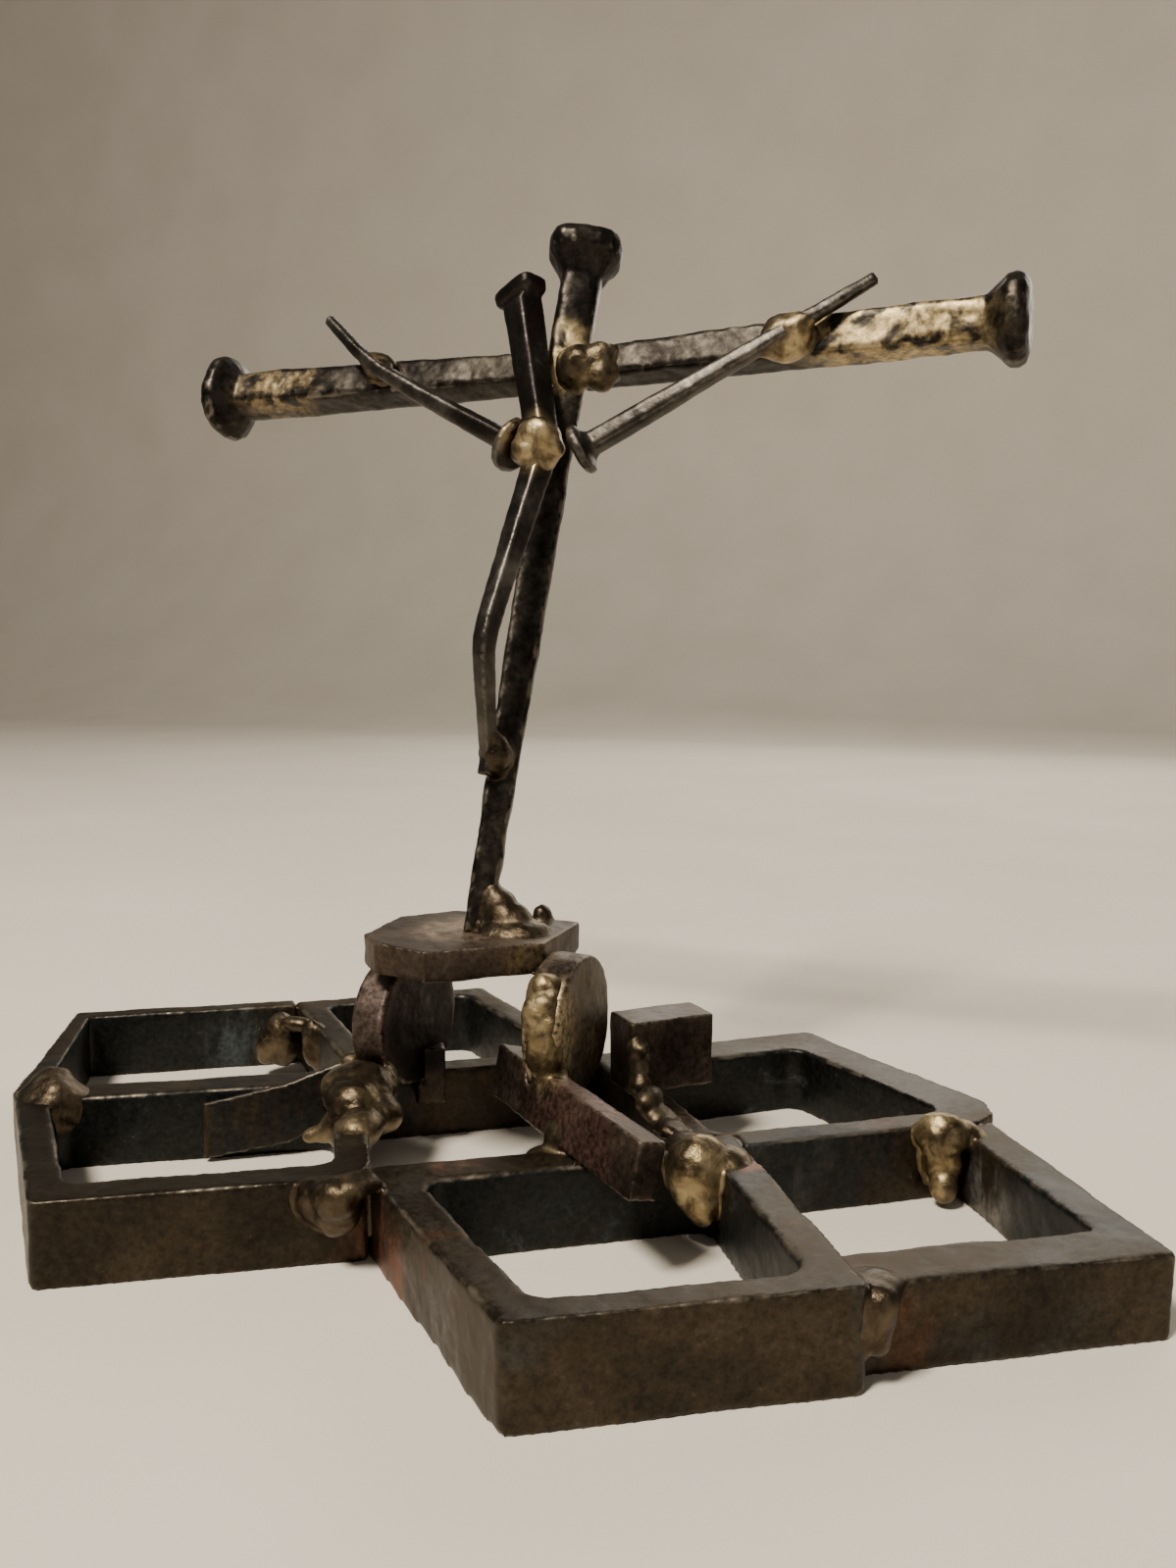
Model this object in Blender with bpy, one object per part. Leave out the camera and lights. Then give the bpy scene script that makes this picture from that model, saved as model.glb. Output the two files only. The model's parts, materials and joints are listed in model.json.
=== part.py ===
"""Table-top crucifix brazed together from square spikes, nails and slices of square tube.

Units are metres, +Z is up, and the figure faces -Y. The cross is made of three square-shank spikes,
the figure of three smaller nails. It stands on a six-cornered plate that two thick discs carry
above a base of four closed tube slices round a square court, with an angle piece at two corners.
"""

import math

import bmesh
import bpy
from mathutils import Matrix, Vector, noise

# Clearance between pieces that touch, and the wider step that leaves it at a sharp corner.
GAP = 0.0003
CORNER_GAP = 0.0006

# Spikes of the cross: one kind of spike, whole for the upright and cut short for the arms.
SPIKE_LENGTH = 0.152
SPIKE_AT_HEAD = 0.0094
SPIKE_AT_TIP = 0.0055
UPRIGHT_HEAD_DEPTH = 0.0102
UPRIGHT_HEAD_WIDTH = 0.0164
LEFT_HEAD_DEPTH = 0.0072
LEFT_HEAD_WIDTH = 0.0196
RIGHT_HEAD_DEPTH = 0.0078
RIGHT_HEAD_WIDTH = 0.0178
UPRIGHT_LEAN_BACK = math.radians(15.4)
UPRIGHT_LEAN_SIDE = math.radians(2.9)
UPRIGHT_TURN = math.radians(-23)
FOOT_X = -0.0086
FOOT_Y = -0.0110
CROSSBAR_DROP = 0.0300
LEFT_ARM_REACH = 0.0906
RIGHT_ARM_REACH = 0.0948
LEFT_ARM_RISE = 0.0000
RIGHT_ARM_RISE = 0.0028
LEFT_ARM_ROLL = math.radians(24)
RIGHT_ARM_ROLL = math.radians(4)
RIGHT_ARM_TWIST = math.radians(18)

# Figure: a body nail bent at the shoulders, knee and foot, and two arm nails.
BODY_NAIL_AT_HEAD = 0.0068
BODY_NAIL_AT_FOOT = 0.0028
BODY_HEAD_WIDTH = 0.0116
BODY_HEAD_DEPTH = 0.0048
NECK_TILT = 0.0101
NECK_LENGTH = 0.0320
CHEST_FORWARD = 0.0100
SHOULDER_BELOW_CROSSBAR = 0.0182
KNEE_BELOW_SHOULDER = 0.0395
KNEE_FORWARD = 0.0168
ANKLE_BELOW_KNEE = 0.0240
ANKLE_ASIDE = 0.0012
TOE_LENGTH = 0.0038
ARM_NAIL_AT_HEAD = 0.0046
ARM_NAIL_AT_TIP = 0.0022
LEFT_ARM_NAIL_HEAD = 0.0118
RIGHT_ARM_NAIL_HEAD = 0.0104
ARM_NAIL_HEAD_DEPTH = 0.0032
SHOULDER_STEP = 0.0009
LEFT_SHOULDER_OUT = 0.0072
RIGHT_SHOULDER_OUT = 0.0086
LEFT_HAND_OUT = 0.0579
LEFT_HAND_ABOVE = 0.0152
RIGHT_HAND_OUT = 0.0662
RIGHT_HAND_ABOVE = 0.0122
LEFT_CROSSING_OUT = 0.0430
RIGHT_CROSSING_OUT = 0.0490

# Six-cornered plate under the foot: corners as shares of its radius, with their directions.
PLATE_TOP = 0.0476
PLATE_THICKNESS = 0.0061
PLATE_RADIUS = 0.0200
PLATE_X = -0.0100
PLATE_Y = -0.0140
PLATE_CORNERS = (
    (1.27, 45),
    (1.09, 122),
    (1.05, 158),
    (1.01, 210),
    (0.98, 235),
    (0.95, 273),
    (0.96, -9),
)

# Two thick discs on edge that carry the plate.
DISC_RADIUS = 0.0136
DISC_THICKNESS = 0.0078
LEFT_DISC_X = -0.0252
LEFT_DISC_Y = -0.0120
LEFT_DISC_TURN = math.radians(-6)
RIGHT_DISC_Y = -0.0160
RIGHT_DISC_RISE = 0.0044

# Base frame: u runs along the slices' fronts, v towards the back, turned against the crossbar.
BASE_TURN = math.radians(33.5)
SLICE_HEIGHT = 0.0145
OUTER_CORNER = 0.0014
INNER_CORNER = 0.0030
CORNER_STEPS = 3
CORNER_PULL = 0.4

# Court: the square gap that the four closed slices stand round.
COURT_LEFT = -0.0365
COURT_RIGHT = 0.0160
COURT_FRONT = -0.0420
COURT_BACK = 0.0065

LEFT_SLICE_FRONT = 0.0552
LEFT_SLICE_DEPTH = 0.0595
LEFT_SLICE_LEAN = 0.0152
LEFT_SLICE_SHIFT = -0.0055
LEFT_SLICE_WALLS = (0.0072, 0.0062, 0.0086, 0.0062)
LEFT_SLICE_EXTRA = (0.0006, 0.0)

FRONT_SLICE_FRONT = 0.0525
FRONT_SLICE_DEPTH = 0.0592
FRONT_SLICE_LEAN = 0.0160
FRONT_SLICE_RIGHT = 0.0305
FRONT_SLICE_WALLS = (0.0062, 0.0072, 0.0088, 0.0068)
FRONT_SLICE_EXTRA = (0.0018, 0.0)

RIGHT_SLICE_FRONT = 0.0679
RIGHT_SLICE_DEPTH = 0.0585
RIGHT_SLICE_LEAN = 0.0199
RIGHT_SLICE_SHIFT = -0.0035
RIGHT_SLICE_SKEW = 0.0040
RIGHT_SLICE_WORN_CORNER = 0.0075
RIGHT_SLICE_WALLS = (0.0066, 0.0110, 0.0115, 0.0070)
RIGHT_SLICE_EXTRA = (0.0, -0.0004)

BACK_SLICE_FRONT = 0.0530
BACK_SLICE_DEPTH = 0.0620
BACK_SLICE_LEAN = 0.0190
BACK_SLICE_WALLS = (0.0066, 0.0066, 0.0060, 0.0066)
BACK_SLICE_EXTRA = (0.0, 0.0004)

REAR_ANGLE_REACH = 0.0610
REAR_ANGLE_DEPTH = 0.0535
REAR_ANGLE_WALLS = (0.0056, 0.0050)
REAR_ANGLE_EXTRA = 0.0006

FRONT_ANGLE_REACH = 0.0517
FRONT_ANGLE_DEPTH = 0.0555
FRONT_ANGLE_WALLS = (0.0078, 0.0098)
FRONT_ANGLE_SETBACK = 0.0045
FRONT_ANGLE_EXTRA = -0.0006

# Loose scraps brazed between the base and the discs.
BAR_LENGTH = 0.0570
BAR_HEIGHT = 0.0100
BAR_THICKNESS = 0.0052
BAR_TILT = math.radians(12)
BAR_TURN = math.radians(139.2)
BLOCK_LENGTH = 0.0190
BLOCK_WIDTH = 0.0100
BLOCK_HEIGHT = 0.0148
BLOCK_TURN = math.radians(47)
STUB_WIDTH = 0.0060
STUB_DEPTH = 0.0052
STUB_HEIGHT = 0.0118
STUB_LIFT = 0.0095
BLADE_LENGTH = 0.0310
BLADE_THICKNESS = 0.0016
BLADE_FREE_HEIGHT = 0.0125
BLADE_WELDED_HEIGHT = 0.0205

SECTION_POINTS = 16


def clear_scene():
    """Remove what the file starts with."""
    for obj in list(bpy.data.objects):
        bpy.data.objects.remove(obj, do_unlink=True)


def make_material(name, colour, roughness, metallic):
    """A plain Principled material."""
    material = bpy.data.materials.new(name)
    material.use_nodes = True
    shader = material.node_tree.nodes["Principled BSDF"]
    shader.inputs["Base Color"].default_value = (*colour, 1.0)
    shader.inputs["Roughness"].default_value = roughness
    shader.inputs["Metallic"].default_value = metallic
    return material


def make_materials():
    """The five finishes of the piece."""
    return {
        "spike": make_material("worn_spike_steel", (0.12, 0.10, 0.085), 0.42, 1.0),
        "nail": make_material("worn_nail_steel", (0.16, 0.15, 0.14), 0.36, 1.0),
        "slice": make_material("mill_scale_tube", (0.065, 0.052, 0.040), 0.55, 0.85),
        "scrap": make_material("rusty_scrap_steel", (0.11, 0.065, 0.048), 0.62, 0.8),
        "braze": make_material("brass_braze", (0.52, 0.38, 0.17), 0.30, 1.0),
    }


# Each piece's shape before anything is cut from it.
WHOLE_SHAPES = {}


def add_object(name, bm, material, parent, smooth=False):
    """Put a bmesh into the scene as a named object under its parent."""
    bmesh.ops.recalc_face_normals(bm, faces=bm.faces)
    mesh = bpy.data.meshes.new(name)
    bm.to_mesh(mesh)
    bm.free()
    mesh.materials.append(material)
    if smooth:
        mesh.shade_smooth()
        mesh.set_sharp_from_angle(angle=math.radians(32))
    WHOLE_SHAPES[name] = mesh
    obj = bpy.data.objects.new(name, mesh)
    bpy.context.scene.collection.objects.link(obj)
    obj.parent = parent
    return obj


def add_empty(name, parent, location=(0, 0, 0), turn=0.0):
    """A parent empty, turned about Z."""
    empty = bpy.data.objects.new(name, None)
    bpy.context.scene.collection.objects.link(empty)
    empty.parent = parent
    empty.location = location
    empty.rotation_euler = (0, 0, turn)
    return empty


# Lofted bars: a row of rounded sections, skinned and capped.


def rounded_section(centre, across, up, half_across, half_up, power):
    """Points of a superellipse round centre; power 2 is an ellipse and 8 nearly a square."""
    points = []
    for step in range(SECTION_POINTS):
        angle = 2 * math.pi * (step + 0.5) / SECTION_POINTS
        c, s = math.cos(angle), math.sin(angle)
        x = math.copysign(abs(c) ** (2 / power), c) * half_across
        y = math.copysign(abs(s) ** (2 / power), s) * half_up
        points.append(centre + across * x + up * y)
    return points


def loft(sections):
    """Skin a row of sections into one closed bmesh."""
    bm = bmesh.new()
    rings = [[bm.verts.new(point) for point in section] for section in sections]
    count = len(rings[0])
    for first, second in zip(rings, rings[1:]):
        for i in range(count):
            j = (i + 1) % count
            bm.faces.new((first[i], first[j], second[j], second[i]))
    bm.faces.new(rings[0])
    bm.faces.new(list(reversed(rings[-1])))
    return bm


def side_axes(direction, facing, turn):
    """Two axes across a bar: one towards facing, turned about the bar, and one beside it."""
    up = (facing - direction * facing.dot(direction)).normalized()
    up = Matrix.Rotation(turn, 3, direction) @ up
    return up.cross(direction).normalized(), up


def spike_side(distance):
    """Width of a spike's square shank at a distance from its head's top."""
    share = distance / SPIKE_LENGTH
    return SPIKE_AT_HEAD + (SPIKE_AT_TIP - SPIKE_AT_HEAD) * share


# A spike's head from its top down: share of the head's depth, share of its width.
HEAD_PROFILE = (
    (0.00, 0.70),
    (0.10, 0.92),
    (0.28, 1.00),
    (0.50, 0.97),
    (0.74, 0.76),
)


def spike(name, head_top, direction, length, head, roll, twist, material, parent):
    """A square-shank spike from its head's top along direction; head is its width, depth and squareness."""
    head_width, head_depth, squareness = head
    facing = Vector((0, -1, 0))
    sections = []
    for depth_share, width_share in HEAD_PROFILE:
        across, up = side_axes(direction, facing, roll)
        centre = head_top + direction * (depth_share * head_depth)
        half = head_width * width_share / 2
        sections.append(rounded_section(centre, across, up, half, half * 0.95, squareness))
    steps = 6
    for step in range(steps + 1):
        distance = head_depth + (length - head_depth) * step / steps
        turn = roll + twist * distance / length
        across, up = side_axes(direction, facing, turn)
        half = spike_side(distance) / 2
        power = 4.0 if step == 0 else 7.0
        sections.append(rounded_section(head_top + direction * distance, across, up, half, half, power))
    return add_object(name, loft(sections), material, parent, smooth=True)


def nail_sections(path, sizes, facing, power, turn=0.0):
    """Sections of a nail's shank along a bent path."""
    sections = []
    for i, point in enumerate(path):
        before = path[max(i - 1, 0)]
        after = path[min(i + 1, len(path) - 1)]
        direction = (after - before).normalized()
        across, up = side_axes(direction, facing, turn)
        sections.append(rounded_section(point, across, up, sizes[i] / 2, sizes[i] / 2, power))
    return sections


# Clearance copies, which cut a neighbour so that the two keep their gap.


def clearance_of(obj, grow):
    """A hidden copy of a piece's whole shape, grown outwards, to cut others with."""
    mesh = WHOLE_SHAPES[obj.name].copy()
    mesh.name = obj.name + "_clearance"
    bm = bmesh.new()
    bm.from_mesh(mesh)
    bm.normal_update()
    moves = [(vert, vert.co + vert.normal * grow) for vert in bm.verts]
    for vert, place in moves:
        vert.co = place
    bm.to_mesh(mesh)
    bm.free()
    copy = bpy.data.objects.new(mesh.name, mesh)
    bpy.context.scene.collection.objects.link(copy)
    copy.parent = obj.parent
    copy.matrix_local = obj.matrix_local.copy()
    copy.hide_render = True
    copy.display_type = "WIRE"
    return copy


def largest_body(mesh):
    """Keep the biggest connected body of a mesh, as loose crumbs of a cut drop off."""
    bm = bmesh.new()
    bm.from_mesh(mesh)
    bmesh.ops.remove_doubles(bm, verts=bm.verts, dist=0.00002)
    bmesh.ops.dissolve_degenerate(bm, dist=0.00001, edges=bm.edges)
    left = set(bm.verts)
    bodies = []
    while left:
        stack = [left.pop()]
        body = set(stack)
        while stack:
            for edge in stack.pop().link_edges:
                for vert in edge.verts:
                    if vert not in body:
                        body.add(vert)
                        stack.append(vert)
        left -= body
        bodies.append(body)
    bodies.sort(key=len)
    loose = [vert for body in bodies[:-1] for vert in body]
    bmesh.ops.delete(bm, geom=loose, context="VERTS")
    bm.to_mesh(mesh)
    bm.free()


def cut_by(obj, neighbours, grow=CORNER_GAP):
    """Cut a piece clear of its neighbours, one after another, and settle the result as its mesh."""
    for neighbour in neighbours:
        cutter = clearance_of(neighbour, grow)
        modifier = obj.modifiers.new(cutter.name, "BOOLEAN")
        modifier.operation = "DIFFERENCE"
        modifier.solver = "EXACT"
        modifier.use_self = True
        modifier.object = cutter
        bpy.context.view_layer.update()
        graph = bpy.context.evaluated_depsgraph_get()
        settled = bpy.data.meshes.new_from_object(obj.evaluated_get(graph), depsgraph=graph)
        settled.name = obj.name
        obj.modifiers.clear()
        obj.data = settled
        largest_body(settled)
        bpy.data.objects.remove(cutter, do_unlink=True)
    return obj


# Base: slices of square tube and the angle pieces.


def rounded_outline(corners, radii):
    """A polygon's corners, counter-clockwise, rounded with short arcs, one radius a corner."""
    points = []
    count = len(corners)
    for i, corner in enumerate(corners):
        before = (corners[i - 1] - corner).normalized()
        after = (corners[(i + 1) % count] - corner).normalized()
        half_angle = math.acos(max(-1, min(1, before.dot(after)))) / 2
        reach = radii[i] / math.tan(half_angle)
        start = corner + before * reach
        end = corner + after * reach
        for step in range(CORNER_STEPS):
            t = step / (CORNER_STEPS - 1)
            pull = 2 * t * (1 - t) * CORNER_PULL
            total = (1 - t) ** 2 + pull + t ** 2
            points.append((start * (1 - t) ** 2 + corner * pull + end * t ** 2) / total)
    return points


def inset_corners(corners, walls):
    """Corners moved in by one wall per side; side i runs from corner i to corner i + 1."""
    count = len(corners)
    lines = []
    for i, corner in enumerate(corners):
        run = (corners[(i + 1) % count] - corner).normalized()
        inward = Vector((-run.y, run.x))
        lines.append((corner + inward * walls[i], run))
    inner = []
    for i in range(count):
        point, run = lines[i - 1]
        other, other_run = lines[i]
        cross = run.x * other_run.y - run.y * other_run.x
        offset = other - point
        distance = (offset.x * other_run.y - offset.y * other_run.x) / cross
        inner.append(point + run * distance)
    return inner


def top_at(point, front_v, back_v, extra):
    """Height of a slice's sawn top, which may slope from front to back."""
    share = (point.y - front_v) / (back_v - front_v)
    return SLICE_HEIGHT + extra[0] + (extra[1] - extra[0]) * share


def slice_piece(name, corners, walls, extra, material, parent, worn_corner=OUTER_CORNER):
    """A closed slice of square tube standing on the table; its front right corner may be worn."""
    outer = rounded_outline(corners, [OUTER_CORNER, worn_corner, OUTER_CORNER, OUTER_CORNER])
    inner = rounded_outline(inset_corners(corners, walls), [INNER_CORNER] * 4)
    front_v = min(corner.y for corner in corners)
    back_v = max(corner.y for corner in corners)
    bm = bmesh.new()
    loops = []
    for outline, raised in ((outer, False), (outer, True), (inner, True), (inner, False)):
        loop = []
        for point in outline:
            height = top_at(point, front_v, back_v, extra) if raised else 0.0
            loop.append(bm.verts.new((point.x, point.y, height)))
        loops.append(loop)
    count = len(outer)
    for k in range(4):
        first, second = loops[k], loops[(k + 1) % 4]
        for i in range(count):
            j = (i + 1) % count
            bm.faces.new((first[i], first[j], second[j], second[i]))
    return add_object(name, bm, material, parent)


def prism(name, outline, low, high, material, parent):
    """An upright prism over an outline, counter-clockwise."""
    bm = bmesh.new()
    bottom = [bm.verts.new((point.x, point.y, low)) for point in outline]
    top = [bm.verts.new((point.x, point.y, high)) for point in outline]
    bm.faces.new(list(reversed(bottom)))
    bm.faces.new(top)
    count = len(outline)
    for i in range(count):
        j = (i + 1) % count
        bm.faces.new((bottom[i], bottom[j], top[j], top[i]))
    return add_object(name, bm, material, parent)


def make_base(material, parent):
    """Four closed slices round the court and an angle piece in two of the corners."""
    front_right = FRONT_SLICE_RIGHT
    front_back = COURT_FRONT
    front_front = front_back - FRONT_SLICE_DEPTH
    front = slice_piece(
        "front_slice",
        [
            Vector((front_right - FRONT_SLICE_FRONT, front_front)),
            Vector((front_right, front_front)),
            Vector((front_right, front_back + 0.0030)),
            Vector((front_right - FRONT_SLICE_FRONT - FRONT_SLICE_LEAN, front_back)),
        ],
        FRONT_SLICE_WALLS, FRONT_SLICE_EXTRA, material, parent,
    )
    left_front = COURT_FRONT + LEFT_SLICE_SHIFT
    left = slice_piece(
        "left_slice",
        [
            Vector((COURT_LEFT - LEFT_SLICE_FRONT, left_front)),
            Vector((COURT_LEFT, left_front)),
            Vector((COURT_LEFT, left_front + LEFT_SLICE_DEPTH)),
            Vector((COURT_LEFT - LEFT_SLICE_FRONT - LEFT_SLICE_LEAN, left_front + LEFT_SLICE_DEPTH)),
        ],
        LEFT_SLICE_WALLS, LEFT_SLICE_EXTRA, material, parent,
    )
    cut_by(left, [front])
    right_front = COURT_FRONT + RIGHT_SLICE_SHIFT
    right_end = COURT_RIGHT + 0.0050 + RIGHT_SLICE_FRONT
    right = slice_piece(
        "right_slice",
        [
            Vector((COURT_RIGHT + 0.0050, right_front)),
            Vector((right_end, right_front + RIGHT_SLICE_SKEW)),
            Vector((right_end - RIGHT_SLICE_LEAN, right_front + RIGHT_SLICE_DEPTH + RIGHT_SLICE_SKEW * 2)),
            Vector((COURT_RIGHT - 0.0020, right_front + RIGHT_SLICE_DEPTH)),
        ],
        RIGHT_SLICE_WALLS, RIGHT_SLICE_EXTRA, material, parent, RIGHT_SLICE_WORN_CORNER,
    )
    cut_by(right, [front])
    back = slice_piece(
        "back_slice",
        [
            Vector((COURT_RIGHT - BACK_SLICE_FRONT, COURT_BACK)),
            Vector((COURT_RIGHT, COURT_BACK + 0.0030)),
            Vector((COURT_RIGHT - BACK_SLICE_LEAN, COURT_BACK + 0.0030 + BACK_SLICE_DEPTH)),
            Vector((COURT_RIGHT - BACK_SLICE_FRONT - 0.0150, COURT_BACK + BACK_SLICE_DEPTH - 0.0010)),
        ],
        BACK_SLICE_WALLS, BACK_SLICE_EXTRA, material, parent,
    )
    cut_by(back, [left, right])
    rear_angle = make_rear_angle(left_front + LEFT_SLICE_DEPTH, material, parent)
    cut_by(rear_angle, [left, back])
    front_angle = make_front_angle(front_right, front_front, material, parent)
    cut_by(front_angle, [front, right])
    return {
        "front": front, "left": left, "right": right, "back": back,
        "rear_angle": rear_angle, "front_angle": front_angle,
    }


def make_rear_angle(start_v, material, parent):
    """Half a slice behind the left one: a side wall and a back wall."""
    side_wall, back_wall = REAR_ANGLE_WALLS
    left = COURT_LEFT - LEFT_SLICE_FRONT - LEFT_SLICE_LEAN + 0.0010
    right = left + REAR_ANGLE_REACH
    back = start_v + REAR_ANGLE_DEPTH
    outline = [
        Vector((left, start_v - 0.0040)),
        Vector((left + side_wall, start_v - 0.0040)),
        Vector((left + side_wall, back - back_wall)),
        Vector((right, back - back_wall + 0.0020)),
        Vector((right, back + 0.0020)),
        Vector((left + 0.0020, back)),
    ]
    return prism("rear_angle", outline, 0.0, SLICE_HEIGHT + REAR_ANGLE_EXTRA, material, parent)


def make_front_angle(start_u, front_v, material, parent):
    """Half a slice right of the front one: a front wall and a side wall."""
    side_wall, front_wall = FRONT_ANGLE_WALLS
    front = front_v + FRONT_ANGLE_SETBACK
    right = start_u + FRONT_ANGLE_REACH
    back = front + FRONT_ANGLE_DEPTH
    outline = [
        Vector((start_u - 0.0040, front)),
        Vector((right, front)),
        Vector((right, back)),
        Vector((right - side_wall, back)),
        Vector((right - side_wall, front + front_wall)),
        Vector((start_u - 0.0040, front + front_wall)),
    ]
    return prism("front_angle", outline, 0.0, SLICE_HEIGHT + FRONT_ANGLE_EXTRA, material, parent)


# Plate, discs and scraps.


def make_plate(material, parent):
    """The plate that the upright stands on."""
    outline = []
    for share, direction in PLATE_CORNERS:
        angle = math.radians(direction)
        radius = PLATE_RADIUS * share
        outline.append(Vector((PLATE_X + radius * math.cos(angle), PLATE_Y + radius * math.sin(angle))))
    return prism("foot_plate", outline, PLATE_TOP - PLATE_THICKNESS, PLATE_TOP, material, parent)


def disc_piece(name, centre, turn, material, parent):
    """A thick disc standing on edge, its faces towards left and right."""
    across = Matrix.Rotation(turn, 3, "Z") @ Vector((1, 0, 0))
    along = Matrix.Rotation(turn, 3, "Z") @ Vector((0, 1, 0))
    sides = 28
    chamfer = DISC_THICKNESS * 0.07
    sections = []
    for offset, radius in (
        (-DISC_THICKNESS / 2, DISC_RADIUS - chamfer),
        (-DISC_THICKNESS / 2 + chamfer, DISC_RADIUS),
        (DISC_THICKNESS / 2 - chamfer, DISC_RADIUS),
        (DISC_THICKNESS / 2, DISC_RADIUS - chamfer),
    ):
        section = []
        for step in range(sides):
            angle = 2 * math.pi * step / sides
            point = centre + across * offset + along * (radius * math.cos(angle))
            section.append(point + Vector((0, 0, radius * math.sin(angle))))
        sections.append(section)
    return add_object(name, loft(sections), material, parent, smooth=True)


def box_piece(name, size, place, turn, material, parent, tilt=0.0):
    """A box with its origin at the middle of its underside, tilted about its length."""
    length, width, height = size
    bm = bmesh.new()
    bmesh.ops.create_cube(bm, size=1.0)
    bmesh.ops.translate(bm, verts=bm.verts, vec=(0, 0, 0.5))
    bmesh.ops.scale(bm, verts=bm.verts, vec=(length, width, height))
    matrix = Matrix.Rotation(turn, 4, "Z") @ Matrix.Rotation(tilt, 4, "X")
    bmesh.ops.transform(bm, matrix=Matrix.Translation(place) @ matrix, verts=bm.verts)
    return add_object(name, bm, material, parent)


def lump(name, centre, radii, material, parent, seed, turn=0.0, roughness=0.12):
    """A bead of braze: a sphere pulled to size and roughened by smooth noise."""
    bm = bmesh.new()
    bmesh.ops.create_icosphere(bm, subdivisions=2, radius=1.0)
    rotation = Matrix.Rotation(turn, 3, "Z")
    for vert in bm.verts:
        wave = noise.noise(vert.co * 1.4 + Vector((seed * 3.7, seed * 1.9, seed * 5.3)))
        place = vert.co * (1 + roughness * wave)
        scaled = Vector((place.x * radii[0], place.y * radii[1], place.z * radii[2]))
        vert.co = centre + rotation @ scaled
    return add_object(name, bm, material, parent, smooth=True)


def from_base(u, v, z):
    """A place given in the base's frame, in the cross's frame."""
    turned = Matrix.Rotation(BASE_TURN, 3, "Z") @ Vector((u, v, 0))
    return Vector((turned.x, turned.y, z))


def make_scraps(materials, parent, base_frame, base, discs):
    """Flat bar, block, stub and blade between the base and the discs."""
    scrap = materials["scrap"]
    bar_place = Vector((0.0205, -0.0340, SLICE_HEIGHT + 0.0009))
    bar = box_piece(
        "leaning_bar", (BAR_LENGTH, BAR_THICKNESS, BAR_HEIGHT), bar_place, BAR_TURN, scrap, parent, BAR_TILT
    )
    cut_by(bar, [base["front"], base["right"], base["back"], discs["right"]])
    along = Matrix.Rotation(BLOCK_TURN, 3, "Z") @ Vector((1, 0, 0))
    behind = Matrix.Rotation(BLOCK_TURN, 3, "Z") @ Vector((0, 1, 0))
    corner = Vector((0.0229, -0.0050, SLICE_HEIGHT + GAP))
    block_place = corner + along * (BLOCK_LENGTH / 2) + behind * (BLOCK_WIDTH / 2)
    block = box_piece(
        "standing_block", (BLOCK_LENGTH, BLOCK_WIDTH, BLOCK_HEIGHT), block_place, BLOCK_TURN, scrap, parent
    )
    cut_by(block, [discs["right"], base["right"]])
    stub_place = from_base(-0.0225, COURT_BACK - STUB_DEPTH / 2 - GAP, STUB_LIFT)
    stub = box_piece(
        "stub", (STUB_WIDTH, STUB_DEPTH, STUB_HEIGHT), stub_place, BASE_TURN, scrap, parent
    )
    cut_by(stub, [base["back"], discs["left"]])
    blade = make_blade(materials["slice"], base_frame)
    cut_by(blade, [base["left"], discs["left"], base["front"]])
    return {"bar": bar, "block": block, "stub": stub, "blade": blade}


def make_blade(material, parent):
    """A thin offcut against the left slice's back wall, rising to the left disc."""
    wall_face = COURT_FRONT + LEFT_SLICE_SHIFT + LEFT_SLICE_DEPTH - LEFT_SLICE_WALLS[2]
    right = COURT_LEFT - LEFT_SLICE_WALLS[1] * 0.2
    left = right - BLADE_LENGTH
    stand_off = GAP * 2
    corners = []
    for u, low, high in (
        (left, 0.0008, BLADE_FREE_HEIGHT),
        (left + BLADE_LENGTH * 0.55, 0.0030, BLADE_FREE_HEIGHT * 1.25),
        (right, 0.0090, BLADE_WELDED_HEIGHT),
    ):
        front = wall_face - stand_off - BLADE_THICKNESS
        back = wall_face - stand_off
        places = ((front, low), (back, low), (back, high), (front, high))
        corners.append([Vector((u, v, z)) for v, z in places])
    return add_object("blade", loft(corners), material, parent)


# Cross and figure.


def upright_line():
    """Foot, direction down the upright and the place of its head's top."""
    foot = Vector((FOOT_X, FOOT_Y, PLATE_TOP + GAP))
    rise = Vector((math.tan(UPRIGHT_LEAN_SIDE), math.tan(UPRIGHT_LEAN_BACK), 1.0)).normalized()
    return foot, -rise, foot + rise * SPIKE_LENGTH


def on_upright(height):
    """The point of the upright's axis at a height."""
    foot, down, _ = upright_line()
    return foot - down * ((height - foot.z) / -down.z)


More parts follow.
